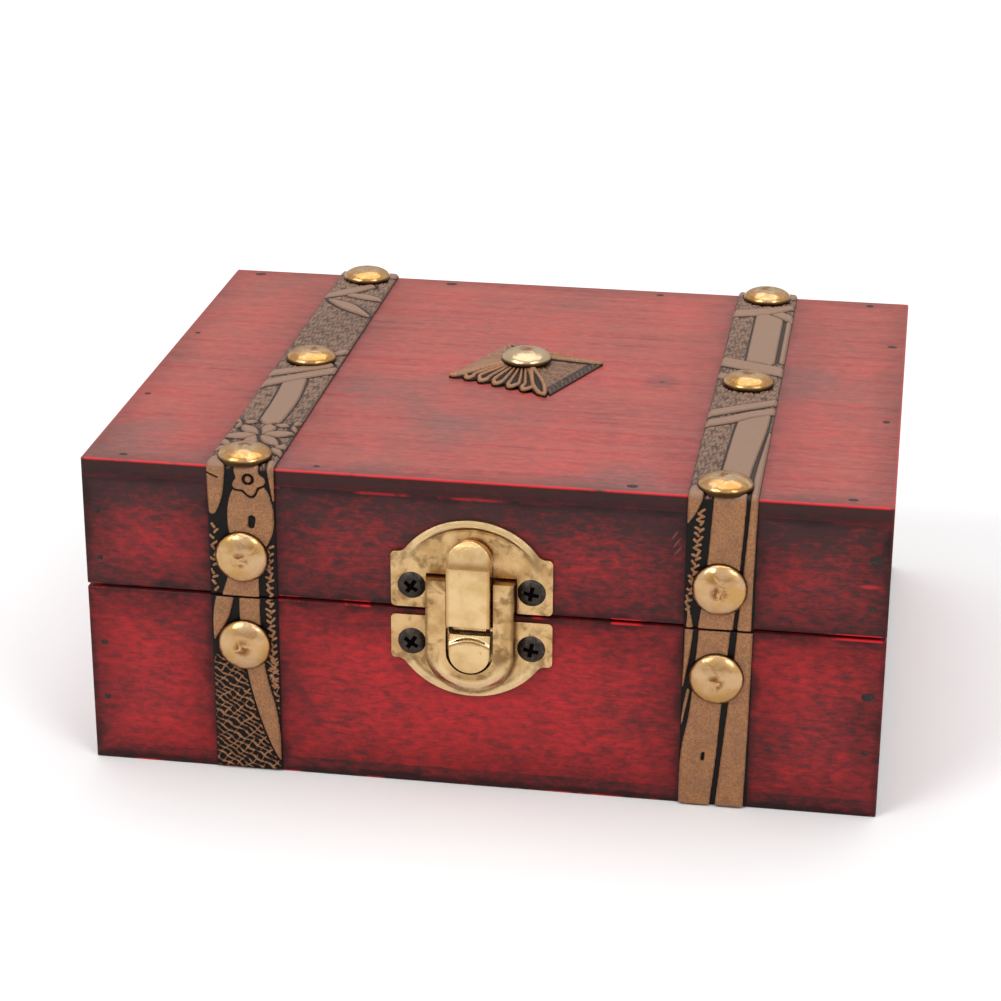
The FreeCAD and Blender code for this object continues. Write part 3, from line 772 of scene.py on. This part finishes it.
class Relief:
    def __init__(self, across, along):
        self.across, self.along = across, along
        self.height = np.full(across.shape, reliefSet["ground"])
        self.gilt = np.zeros(across.shape)
        self.dust = np.zeros(across.shape)

    def raiseTo(self, level, share):
        self.height = np.maximum(self.height, reliefSet["ground"] + share * (level - reliefSet["ground"]))

    def lower(self, share):
        self.height += (reliefSet["ground"] - self.height) * share

    def pebble(self, low, high, strength=0.6):
        a, s = self.across, self.along
        lumps = np.sin(4.3 * a + 2.2 * np.sin(2.6 * s + 0.6 * a))
        lumps *= np.sin(4.6 * s + 2.4 * np.sin(2.9 * a - 0.5 * s))
        inside = (s > low) & (s < high)
        raised = fadeIn(lumps, -0.8, 0.9) * inside
        self.height += 0.3 * raised
        self.gilt = np.where(inside, np.maximum(self.gilt, strength * (0.36 + 0.64 * raised)), self.gilt)
        self.dust = fadeIn(s, low - 0.4, low + 0.8) * fadeIn(s, high + 0.4, high - 0.8)

    def net(self, low, high):
        a, s = self.across, self.along
        lean = s + 0.26 * np.sin(0.9 * a + 0.7 * s) + 0.16 * np.sin(2.3 * s - 1.1 * a)
        first = np.abs((lean + 0.62 * a) / 1.15 % 1 - 0.5) * 1.15 * 0.85
        second = np.abs((lean - 1.1 * a + 0.2 * np.sin(1.7 * a)) / 1.7 % 1 - 0.5) * 1.7 * 0.67
        worn = np.sin(2.9 * a + 1.3 * np.sin(2.1 * s)) + np.sin(2.3 * s - 1.7 * a)
        line = np.minimum(first, second + 0.05 + 0.06 * fadeIn(worn, 0.2, -0.8))
        raised = fadeIn(line, 0.21, 0.07) * fadeIn(s, high, high - 1.2) * fadeIn(s, low, low + 0.2)
        raised *= (0.55 + 0.45 * fadeIn(worn, -1.5, -0.2)) * (0.55 + 0.45 * fadeIn(a, -6.2, -4.6))
        self.raiseTo(reliefSet["mark"], raised)
        self.gilt = np.maximum(self.gilt, raised * 0.9)

    def ribbon(self, points, carve=True, top=None):
        away = awayFrom(self.across, self.along, points)
        if carve:
            lying = abs(points[-1][0] - points[0][0]) > 0.3 * abs(points[-1][1] - points[0][1])
            gap = reliefSet["gap"] * (1 + 0.8 * lying * self.dust)
            clear = fadeIn(away, gap, gap * 0.6)
            self.lower(clear)
            self.gilt *= 1 - clear
        level = (top or reliefSet["ribbon"]) + 0.05 * fadeIn(away, 0, -1.6)
        self.raiseTo(level, fadeIn(away, reliefSet["soft"] / 2, -reliefSet["soft"]))
        self.gilt = np.maximum(self.gilt, fadeIn(away, 0.05, -0.12))

    def cut(self, points):
        inside = fadeIn(awayFrom(self.across, self.along, points), 0.08, -0.1)
        self.lower(inside)
        self.gilt *= 1 - inside

    def marks(self, places, length=0.72, half=0.25):
        for a, s, turn in places:
            reach = length / 2 * wayOf(turn)
            ends = [(a - reach[0], s - reach[1], half), (a + reach[0], s + reach[1], half)]
            self.ribbon(ends, False, reliefSet["mark"])

    def flower(self, a, s, size):
        x, y = self.across - a, self.along - s
        turn = np.arctan2(y, x)
        petal = size * (1 + 0.16 * np.cos(5 * turn + 0.6))
        away = np.hypot(x, y) - petal
        clear = fadeIn(away, 0.5, 0.25)
        self.lower(clear)
        inside = fadeIn(away, 0.1, -0.25) * (1 - fadeIn(np.abs(np.hypot(x, y) - 0.8), 0.34, 0.2))
        self.raiseTo(reliefSet["ribbon"], inside)
        self.gilt = np.maximum(self.gilt * (1 - clear), inside)

    def petals(self, a, s, reach, turns):
        for turn in turns:
            way = wayOf(turn)
            self.ribbon([(a + way[0] * r * reach, s + way[1] * r * reach, w * reach)
                         for r, w in ((0.14, 0.05), (0.55, 0.21), (1.0, 0.04))])


def rope(path, step=0.62, reach=0.42, slant=42):
    # short stitches that lean to and fro, unevenly, along a line of (across, along) points
    draw = random.Random(7)
    stitches = []
    for number, s in enumerate(np.arange(path[0][1], path[-1][1], step)):
        a = float(np.interp(s, [p[1] for p in path], [p[0] for p in path]))
        side = -1 if number % 2 else 1
        stitches.append((a + side * reach * draw.uniform(0.3, 1), s + draw.uniform(-0.2, 0.2),
                         side * slant + draw.uniform(-25, 25)))
    return stitches


# What is tooled on each strap: ribbons as (across, along, half width), from the lower front end
strapArt = {
    "right_lid": {
        "ribbons": [
            [(-0.6, -1, 2.9), (0.1, 6, 2.75), (0.5, 11, 2.7), (1.15, 23, 2.65), (1.3, 33, 2.4),
             (2.1, 51, 2.7), (2.5, 60, 2.6)],
            [(4.2, -1, 1.2), (4.6, 10.5, 0.85), (5.1, 23, 0.62), (5.1, 33, 0.65), (5.6, 52, 0.3)],
            [(-4.2, 24.5, 1.5), (-4.9, 21, 0.9), (-5.6, 18.5, 0.2)],
            [(-4.7, -1, 0.7), (-5.0, 3.2, 0.2)],
            [(-6.4, 54.5, 1.25), (-2, 57.4, 1.3), (2, 60.7, 1.3), (6.4, 63.2, 1.2)],
            [(-6.4, 59.3, 1.15), (-1, 63.2, 1.2), (6.4, 68.0, 1.1)],
            [(-6.4, 80.3, 1.2), (-2, 79.4, 1.1)],
            [(1.3, 89, 2.65), (1.3, 116, 2.65)],
            [(5.2, 89, 0.55), (5.2, 116, 0.55)],
            [(-6.4, 88.3, 2.0), (6.4, 83.4, 2.0)],
            [(1.6, 118.5, 1.4), (6.4, 113.6, 1.3)],
            [(-6.4, 116.2, 1.7), (0, 118.4, 1.7), (4.6, 121.4, 1.1)],
        ],
        "marks": rope([(-5.4, 3.4), (-4.9, 5.7), (-4.5, 8.6), (-4.1, 12), (-3.8, 16), (-3.4, 20.8)]),
        "cuts": [],
    },
    "left_lid": {
        "ribbons": [
            [(-0.6, -1, 3.3), (0, 3, 2.7), (0, 7, 2.4)],
            [(1.7, 18.6, 2.2), (1.6, 17, 3.6), (1.6, 13.5, 4.0), (1.6, 11, 3.2), (2.6, 9.4, 1.2)],
            [(-4.2, 24, 1.7), (-4.4, 18.5, 1.35), (-4.9, 15.2, 0.7)],
            [(5.3, 24, 0.9), (5.6, 17.5, 0.2)],
            [(0.2, 44, 2.0), (0.3, 55, 2.2), (-0.6, 67, 2.0)],
            [(-6.4, 67, 1.15), (3.6, 73.4, 1.15)],
            [(-6.4, 61.2, 1.25), (0, 66.8, 1.3), (6.4, 71.6, 1.2)],
            [(3.2, 79.2, 0.4), (4.6, 80.8, 0.9), (6.4, 82.6, 0.6)],
            [(-4.2, 111.4, 0.4), (0, 108, 1.5), (5.0, 102.8, 0.4)],
            [(-1.4, 115.2, 0.6), (2, 114.4, 1.2), (5.4, 113.0, 0.6)],
            [(-5.8, 113.6, 0.8), (-2, 117, 1.4), (1.8, 121, 1.0)],
        ],
        "petals": [(3.2, 31.0, 4.2, (20, 95, 165, 250, 310)), (-3.6, 30.6, 3.9, (50, 130, 215, 290)),
                   (-0.1, 36.6, 5.8, (15, 75, 135, 195, 255, 315)), (-4.4, 42.0, 2.6, (20, 140, 260)),
                   (4.4, 41.6, 2.8, (60, 180, 300))],
        "flowers": [(1.35, 21.1, 2.6)],
        "marks": rope([(4.5, 0.3), (4.6, 9.2)]) + rope([(-4.9, 1.0), (-5.0, 6.0), (-4.7, 13.6)], 1.05, 0.45),
        "cuts": [[(1.7, 12.9, 0.6), (1.85, 14.1, 0.65)], [(-5.6, 21.9, 0.17), (-3.9, 21.2, 0.17)]],
    },
    "right_base": {
        "ribbons": [
            [(-0.5, 33.5, 2.6), (-1.7, 17.4, 2.6), (-2.5, 10, 2.95), (-3.4, -1, 2.85)],
            [(4.5, 33.5, 1.25), (3.75, 17.4, 1.8), (2.8, -1, 2.4)],
            [(-4.7, 33.5, 0.75), (-5.1, 27, 0.5), (-5.6, 21.6, 0.1)],
            [(-4.6, 21.0, 0.3), (-5.3, 17.0, 0.25), (-5.6, 14.6, 0.1)],
        ],
        "marks": [],
        "cuts": [[(-1.9, 8.4, 0.32), (-1.75, 9.5, 0.3)]],
    },
    "left_base": {
        "net": (0, 21.8),
        "ribbons": [
            [(-3.0, 33.5, 1.5), (-4.1, 28.5, 1.35), (-5.3, 24.2, 0.15)],
            [(1.0, 33.5, 1.8), (1.0, 27, 1.75), (1.85, 18.4, 1.6), (3.5, 11.3, 1.6), (4.8, 5.4, 0.95),
             (5.6, 1.9, 0.1)],
        ],
        "marks": rope([(4.9, 16.0), (4.4, 33.2)]),
        "cuts": [],
    },
}


def tooledRelief(across, along, art, topStretch, total):
    relief = Relief(across, along)
    if topStretch:
        relief.pebble(*topStretch)
    if "net" in art:
        relief.net(*art["net"])
    parts = [art] if not topStretch else [art, frontTurnedBack(art, topStretch, total)]
    for part in parts:
        for points in part["ribbons"]:
            relief.ribbon(points)
        for petals in part.get("petals", []):
            relief.petals(*petals)
        for flower in part.get("flowers", []):
            relief.flower(*flower)
        relief.marks(part["marks"])
        for points in part["cuts"]:
            relief.cut(points)
    relief.dust *= 0.25 + 0.75 * fadeIn(relief.gilt, 0, 0.5)
    fromEdge = strapWidth / mm / 2 - np.abs(across)
    relief.height *= 0.55 + 0.45 * fadeIn(fromEdge, 0, reliefSet["edge"])
    relief.gilt *= 0.35 + 0.65 * fadeIn(fromEdge, 0, reliefSet["edge"] / 2)
    return relief


def frontTurnedBack(art, topStretch, total):
    # the hidden back of a lid strap repeats what is on its front, upside down
    low = topStretch[0] + 2

    def over(points):
        return [(-a, total - s, w) for a, s, w in points]

    def upTo(points):
        kept = [p for p in points if p[1] <= low]
        beyond = [p for p in points if p[1] > low]
        if kept and beyond and points[0] is kept[0]:
            share = (low - kept[-1][1]) / (beyond[0][1] - kept[-1][1])
            kept.append(tuple(p + (q - p) * share for p, q in zip(kept[-1], beyond[0])))
        return kept

    ribbons = [upTo(points) for points in art["ribbons"]]
    return {
        "ribbons": [over(points) for points in ribbons if len(points) > 1],
        "marks": [(-a, total - s, turn) for a, s, turn in art["marks"] if s < low],
        "cuts": [over(points) for points in art["cuts"]],
        "flowers": [(-a, total - s, size) for a, s, size in art.get("flowers", [])],
    }


def reliefSlab(width, length, both=False):
    # a closed slab, 1 mm thick, finely divided on its upper face or on both;
    # across, along and height are X, Y and Z
    bm = bmesh.new()
    bmesh.ops.create_cube(bm, size=1)
    bmesh.ops.scale(bm, vec=(width, length, 1), verts=bm.verts)
    bmesh.ops.translate(bm, vec=(0, length / 2, 0.5), verts=bm.verts)
    runs = [e for e in bm.edges if abs(e.verts[0].co.y - e.verts[1].co.y) > length / 2]
    bmesh.ops.subdivide_edges(bm, edges=runs, cuts=round(length / reliefSet["step"]) - 1, use_grid_fill=True)
    rows = [e for e in bm.edges if abs(e.verts[0].co.x - e.verts[1].co.x) > width / 2
            and (both or e.verts[0].co.z > 0.5)]
    bmesh.ops.subdivide_edges(bm, edges=rows, cuts=round(width / reliefSet["step"]) - 1, use_grid_fill=True)
    return bm


def reliefPiece(bm, shapeOf, placeOf, name, body, node, sharp=180):
    # lifts the upper face by its relief, sets the gilding and puts the piece in place
    piece = finishPiece(bm, name, body, leather, [node], sharp)
    mesh = piece.data
    points = np.empty(len(mesh.vertices) * 3)
    mesh.vertices.foreach_get("co", points)
    across, along, level = points.reshape(-1, 3).T.copy()
    relief = shapeOf(across, along)
    upper = level > 0.5
    height = np.where(upper, relief.height, 0)
    mesh.vertices.foreach_set("co", np.stack(placeOf(across, along, height), 1).ravel() * mm)
    for label, values in (("gilt", np.where(upper, relief.gilt, 0)), ("dust", relief.dust)):
        layer = mesh.attributes.new(label, "FLOAT", "POINT")
        layer.data.foreach_set("value", values.astype(np.float32))
    mesh.update()
    return piece


def overLid(middle, bend=0.4):
    # the way up the front, over the lid and down the back, turning on small arcs at the two edges
    rise, depth = (lidTop - lidFoot) / mm, (backY - frontY) / mm
    front, foot = frontY / mm, lidFoot / mm
    quarter = bend * math.pi / 2
    stops = np.cumsum([rise - bend, quarter, depth - 2 * bend, quarter, rise - bend])

    def place(across, along, height):
        up = np.clip(along, 0, stops[0])
        first = np.clip((along - stops[0]) / quarter, 0, 1) * math.pi / 2
        over = np.clip(along - stops[1], 0, depth - 2 * bend)
        second = np.clip((along - stops[2]) / quarter, 0, 1) * math.pi / 2
        down = np.clip(along - stops[3], 0, None)
        turn = first + second
        radius = bend + height
        y = front + bend + over - radius * np.cos(turn)
        z = foot + up - down + radius * np.sin(turn)
        return across + middle / mm, y, z

    return place, stops


def onFace(middle, side):
    # flat on the front (side -1) or the back (side 1) of the base
    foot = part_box("base_front_right_strap")[0].z / mm
    face = (frontY if side < 0 else backY) / mm

    def place(across, along, height):
        return middle / mm - side * across, face + side * height, foot + along

    return place


def makeStraps():
    width = strapWidth / mm
    length = (strapHigh.z - strapLow.z) / mm
    for sideName, side in (("left", -1), ("right", 1)):
        middle = side * strapMiddle
        place, stops = overLid(middle)
        total = stops[-1]
        topStretch = (stops[0], stops[3])
        lidArt, baseArt = strapArt[sideName + "_lid"], strapArt[sideName + "_base"]
        reliefPiece(reliefSlab(width, total), lambda a, s: tooledRelief(a, s, lidArt, topStretch, total),
                    place, sideName + "LidStrap", "lid", "lid_" + sideName + "_strap")
        for faceName, face in (("front", -1), ("back", 1)):
            reliefPiece(reliefSlab(width, length), lambda a, s: tooledRelief(a, s, baseArt, None, 0),
                        onFace(middle, face), sideName + faceName.capitalize() + "BaseStrap", "base",
                        "base_" + faceName + "_" + sideName + "_strap")


makeStraps()
print("straps made")

# Ornament: a low leather pyramid with feather loops, a pointed leaf at two corners and a roped edge
ornamentSet = {"side": 20.5, "turn": -22.0, "seat": 3.4, "edge": 0.25, "rise": 1.75, "raised": 0.45,
               "notch": 0.12}
# feathers by the middle of their outer and inner ends, then lines of (across, along, half width)
feathers = [(-6.6, -2.4), (-3.7, -1.35), (-0.7, -0.25), (2.3, 0.85), (5.2, 1.9)]
featherHalf = [(-0.86, -7.9, 0.27), (-0.74, -9.1, 0.36), (0, -9.85, 0.44)]
cornerLeaf = [(2.9, -3.2, 0.36), (6.1, -8.0, 0.36), (9.5, -10.3, 0.36), (7.6, -6.8, 0.36), (3.2, -2.9, 0.36)]
cornerRib = [(-3.2, -3.4, 0.35), (-8.2, -8.5, 0.75), (-10.0, -10.1, 0.55)]
veins = [[(4.0, -2.4, 0.10), (9.4, -5.4, 0.14)], [(4.2, -1.4, 0.10), (9.6, -3.2, 0.14)],
         [(4.3, -0.4, 0.10), (9.6, -0.9, 0.14)]]


def ornamentRelief(across, along):
    side = ornamentSet["side"] / 2
    turned = np.where(along > side, -1.0, 1.0)
    x, y = across * turned, (along - side) * turned
    relief = Relief(across, along)
    reach = np.maximum(np.abs(x), np.abs(y))
    slope = np.clip((side - reach) / (side - ornamentSet["seat"]), 0, 1)
    ridges = np.full(x.shape, 1e9)
    for outer, inner in feathers:
        there = [(outer + a, b, half) for a, b, half in featherHalf]
        back = [(outer - a, b, half) for a, b, half in featherHalf[1::-1]]
        loop = [(inner - 0.2, -3.3, 0.16)] + there + back + [(inner + 0.2, -3.3, 0.16)]
        ridges = np.minimum(ridges, awayFrom(x, y, loop))
    for line in (cornerLeaf, cornerRib):
        ridges = np.minimum(ridges, awayFrom(x, y, line))
    for line in veins:
        ridges = np.minimum(ridges, awayFrom(x, y, line) + 0.08)
    raised = fadeIn(ridges, 0.12, -0.14)
    feathered = (y < 0) & (np.abs(y) >= np.abs(x) - 1.0)
    roped = fadeIn(reach, side * 0.86, side * 0.91) * (0.5 + 0.5 * np.sin((across + along) * 4.4))
    grains = np.sin(5.3 * x + 2.0 * np.sin(3.1 * y)) * np.sin(5.7 * y + 2.2 * np.sin(3.5 * x))
    relief.height = (ornamentSet["edge"] + ornamentSet["rise"] * slope + ornamentSet["raised"] * raised
                     + np.where(feathered, 0, 0.16 * roped + 0.07 * grains))
    calm = 0.44 + 0.10 * grains - 0.5 * fadeIn(reach, side * 0.82, side * 0.87) + 0.45 * roped
    # the pyramid's left face is painted lighter, as painted light on that side
    calm = np.where(across < -np.abs(along - side), 0.62, calm)
    relief.gilt = np.maximum(raised, np.where(feathered, 0.05, calm))
    relief.dust = np.where(feathered, 0.12, 0.45)
    between = fadeIn(ridges, 0.08, 0.6) * fadeIn(reach, side * 0.78, side)
    relief.scallop = np.where(feathered, between, 0) * ornamentSet["notch"]
    return relief


def makeOrnament():
    low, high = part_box("lid_ornament")
    middle = (low + high) / 2 / mm
    half = ornamentSet["side"] / 2
    turn = math.radians(ornamentSet["turn"])

    def place(across, along, height):
        shrink = 1 - ornamentRelief(across, along).scallop
        x, y = across * shrink, (along - half) * shrink
        return (middle.x + x * math.cos(turn) - y * math.sin(turn),
                middle.y + x * math.sin(turn) + y * math.cos(turn), lidTop / mm + height)

    slab = reliefSlab(ornamentSet["side"], ornamentSet["side"], True)
    reliefPiece(slab, ornamentRelief, place, "lidOrnament", "lid", "lid_ornament")


makeOrnament()
print("ornament made")


# Latch and hinges: pressed sheet, from merged copies of the solids; body, rounding in mm, segments
pressedSet = {
    "latch_upper_plate": ("lid", 0.30, 4), "latch_lower_plate": ("base", 0.26, 4),
    "latch_lever": ("latch_lever", 0.26, 4), "latch_pin": ("base", 0.12, 2),
    "left_hinge_base_leaf": ("base", 0.14, 3), "right_hinge_base_leaf": ("base", 0.14, 3),
    "left_hinge_lid_leaf": ("lid", 0.14, 3), "right_hinge_lid_leaf": ("lid", 0.14, 3),
    "left_hinge_pin": ("base", 0.15, 3), "right_hinge_pin": ("base", 0.15, 3),
}


def softCopy(node, width, segments, sharp=28, flat=1.5):
    bm = mergedCopy(node)
    bmesh.ops.dissolve_limit(bm, angle_limit=math.radians(flat), verts=bm.verts, edges=bm.edges)
    corners = [e for e in bm.edges if e.is_manifold and e.calc_face_angle() > math.radians(sharp)]
    bmesh.ops.bevel(bm, geom=corners, offset=width * mm, offset_type="OFFSET", affect="EDGES",
                    segments=segments, profile=0.5, material=-1, clamp_overlap=True)
    return bm


# pressed ridges on the latch: middle x and z of the arc, its radius, first and last angle from the top,
# half width and rise; lengths in mm, angles in degrees
ridgeSet = {
    "latch_upper_plate": (-1.1, 35.21, 13.05, -58, 58, 0.65, 0.20),
    "latch_lever": (-1.1, 22.14, 6.41, -28, 28, 0.45, 0.20),
}
# points across a bead, depth of its back and how far it is sunk in mm, steps along it, share of it that
# runs out at each end; the rays that find the piece start in front of it, in metres
beadSet = {"points": 9, "back": 0.1, "sunk": 0.02, "steps": 36, "runOut": 0.25, "rayFrom": -0.1}


def addRidge(bm, look):
    # a low bead turned along the arc and laid on the front of the piece, where its ends run out
    x, z, radius, first, last, half, rise = look
    surface = BVHTree.FromBMesh(bm)
    bead = bmesh.new()
    shares = np.linspace(-1, 1, beadSet["points"])
    rim = [(radius + half * t, rise * math.cos(t * math.pi / 2) ** 2) for t in shares]
    rim += [(radius + half, -beadSet["back"]), (radius - half, -beadSet["back"])]
    verts = [bead.verts.new(Vector((0, -h, r)) * mm) for r, h in rim]
    edges = [bead.edges.new(pair) for pair in zip(verts, verts[1:] + verts[:1])]
    middle = Vector((x, 0, z)) * mm
    turn = Matrix.Translation(middle) @ Matrix.Rotation(math.radians(first), 4, "Y")
    bmesh.ops.transform(bead, matrix=turn, verts=verts)
    bmesh.ops.spin(bead, geom=verts + edges, cent=middle, axis=(0, 1, 0), angle=math.radians(last - first),
                   steps=beadSet["steps"], use_merge=False)
    bmesh.ops.holes_fill(bead, edges=[e for e in bead.edges if e.is_boundary], sides=0)
    bmesh.ops.recalc_face_normals(bead, faces=bead.faces)
    for vert in bead.verts:
        angle = math.degrees(math.atan2(vert.co.x - middle.x, vert.co.z - middle.z))
        runOut = float(fadeIn(min(angle - first, last - angle) / (last - first), 0, beadSet["runOut"]))
        start = Vector((vert.co.x, beadSet["rayFrom"], vert.co.z))
        hit = surface.ray_cast(start, Vector((0, 1, 0)))[0]
        vert.co.y = vert.co.y * runOut + beadSet["sunk"] * mm + hit.y
    pourInto(bm, bead)


for node, (body, width, segments) in pressedSet.items():
    metal = hingeBrass if "hinge" in node else leverBrass if node == "latch_lever" else plateBrass
    pressed = softCopy(node, width, segments)
    if node in ridgeSet:
        addRidge(pressed, ridgeSet[node])
    finishPiece(pressed, node + "_pressed", body, metal, [node])


# rounding in mm and its segments, first turn and further turn of each next screw in degrees, reach of the
# cross as a share of the radius, its depth and how far below the dome it starts in mm, and the rise of a
# large and of a small dome and the radius from which a head is large, in mm
crossSet = {"rounding": 0.06, "segments": 2, "turn": 34, "next": 67, "reach": 0.56, "depth": 0.8,
            "below": 0.16, "largeDome": 0.9, "smallDome": 0.6, "large": 2}


def turnedScrews(node):
    # turns each screw its own way and marks the cross of its head, which lies below the dome, for black
    # painted shade
    bm = softCopy(node, crossSet["rounding"], crossSet["segments"])
    layer = bm.verts.layers.float.new("recess")
    for number, (low, high) in enumerate(solidBoxes(node)):
        middle = (low + high) / 2
        near = [v for v in bm.verts if math.hypot(v.co.x - middle.x, v.co.z - middle.z) < high.x - low.x]
        turn = Matrix.Rotation(math.radians(crossSet["turn"] + crossSet["next"] * number), 3, "Y")
        bmesh.ops.rotate(bm, cent=middle, matrix=turn, verts=near)
        radius = (high.x - low.x) / 2
        rise = crossSet["largeDome" if radius > crossSet["large"] * mm else "smallDome"] * mm
        outside = low.y if middle.y < 0 else high.y
        for vert in bm.verts:
            away = math.hypot(vert.co.x - middle.x, vert.co.z - middle.z)
            under = abs(vert.co.y - outside)
            if away < crossSet["reach"] * radius and under < crossSet["depth"] * mm:
                dome = (away / radius) ** 2 * rise
                vert[layer] = 1.0 if under > dome + crossSet["below"] * mm else 0.0
    return bm


screwSet = {"latch_upper_screws": ("lid", "dark_screw"), "latch_lower_screws": ("base", "dark_screw"),
            "hinge_lid_screws": ("lid", "brass"), "hinge_base_screws": ("base", "brass")}
for node, (body, slotName) in screwSet.items():
    metal = screwBronze if slotName == "dark_screw" else hingeBrass
    finishPiece(turnedScrews(node), node + "_turned", body, metal, [node])

spring = finishPiece(softCopy("latch_spring", 0.05, 2), "latchSpring", "base", springSteel,
                     ["latch_spring"])
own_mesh(spring)
print("latch and hinges made")


# Floor, light and camera
floorSet = {"size": 6.0, "colour": (0.93, 0.93, 0.93, 1), "paler": (0.95, 0.95, 0.95, 1)}


def makeFloor():
    bm = bmesh.new()
    bmesh.ops.create_grid(bm, x_segments=1, y_segments=1, size=floorSet["size"] / 2)
    mesh = bpy.data.meshes.new("floor")
    bm.to_mesh(mesh)
    bm.free()
    floor = bpy.data.objects.new("floor", mesh)
    bpy.context.scene.collection.objects.link(floor)
    material, shader, place = newMaterial("paleFloor", Roughness=0.9)
    feed(shader, Base_Color=mixColour(noise(place, 0.02, 2.0), floorSet["colour"], floorSet["paler"]))
    mesh.materials.append(material)


lampSet = [
    {"name": "keyLeft", "place": (-0.55, -0.55, 0.75), "spread": 26, "energy": 1.0},
    {"name": "keyRight", "place": (0.60, -0.50, 0.70), "spread": 24, "energy": 0.75},
    {"name": "overhead", "place": (0.0, 0.25, 0.95), "spread": 60, "energy": 1.6},
]


def makeLamps():
    for look in lampSet:
        data = bpy.data.lights.new(look["name"], "SUN")
        data.energy, data.angle = look["energy"], math.radians(look["spread"])
        lamp = bpy.data.objects.new(look["name"], data)
        lamp.location = look["place"]
        lamp.rotation_euler = Vector(look["place"]).to_track_quat("Z", "Y").to_euler()
        bpy.context.scene.collection.objects.link(lamp)


worldSet = {"shown": (1, 1, 1, 1), "ambient": (0.36, 0.36, 0.36, 1), "room": (0.44, 0.31, 0.17, 1)}


def makeWorld():
    # white to the eye; reflections show a white backdrop and ceiling, and a dim room low behind the camera
    world = bpy.data.worlds.new("studio")
    bpy.context.scene.world = world
    world.use_nodes = True
    tree = world.node_tree
    rays = outputsOf(addNode(tree, "ShaderNodeLightPath"))
    x, y, z = axesOf(addValue(tree, "ShaderNodeTexCoord", output="Generated"))
    backdrop = smooth(y, -0.35, 0.12) * (smooth(z, 0.16, 0.38) * 0.75 + 0.25)
    ceiling = smooth(z, -0.02, 0.42)
    bright = backdrop.atLeast(ceiling).atLeast(smooth(abs(x), 0.25, 0.65))
    around = mixColour(bright, worldSet["room"], worldSet["shown"])
    colour = mixColour(rays["Is Glossy Ray"], worldSet["ambient"], around)
    seen = rays["Is Camera Ray"].atLeast(rays["Is Transmission Ray"])
    feed(tree.nodes["Background"], Color=mixColour(seen, colour, worldSet["shown"]))


# fitted to the corners of the box; focal length and frame in pixels, place in mm
cameraSet = {"place": (67.552, -458.414, 219.790), "right": (0.987475, 0.157717, 0.004377),
             "up": (-0.063438, 0.371483, 0.926270), "focus": 2705.25, "frame": 1001}


def makeCamera():
    data = bpy.data.cameras.new("photoCamera")
    data.sensor_width = 36
    data.lens = cameraSet["focus"] / cameraSet["frame"] * data.sensor_width
    camera = bpy.data.objects.new("photoCamera", data)
    right, up = Vector(cameraSet["right"]), Vector(cameraSet["up"])
    turn = Matrix((right, up, right.cross(up))).transposed()
    camera.matrix_world = Matrix.Translation(Vector(cameraSet["place"]) * mm) @ turn.to_4x4()
    bpy.context.scene.collection.objects.link(camera)
    bpy.context.scene.camera = camera


makeFloor()
makeLamps()
makeWorld()
makeCamera()
bpy.context.scene.view_settings.view_transform = "Standard"
print("stage set")
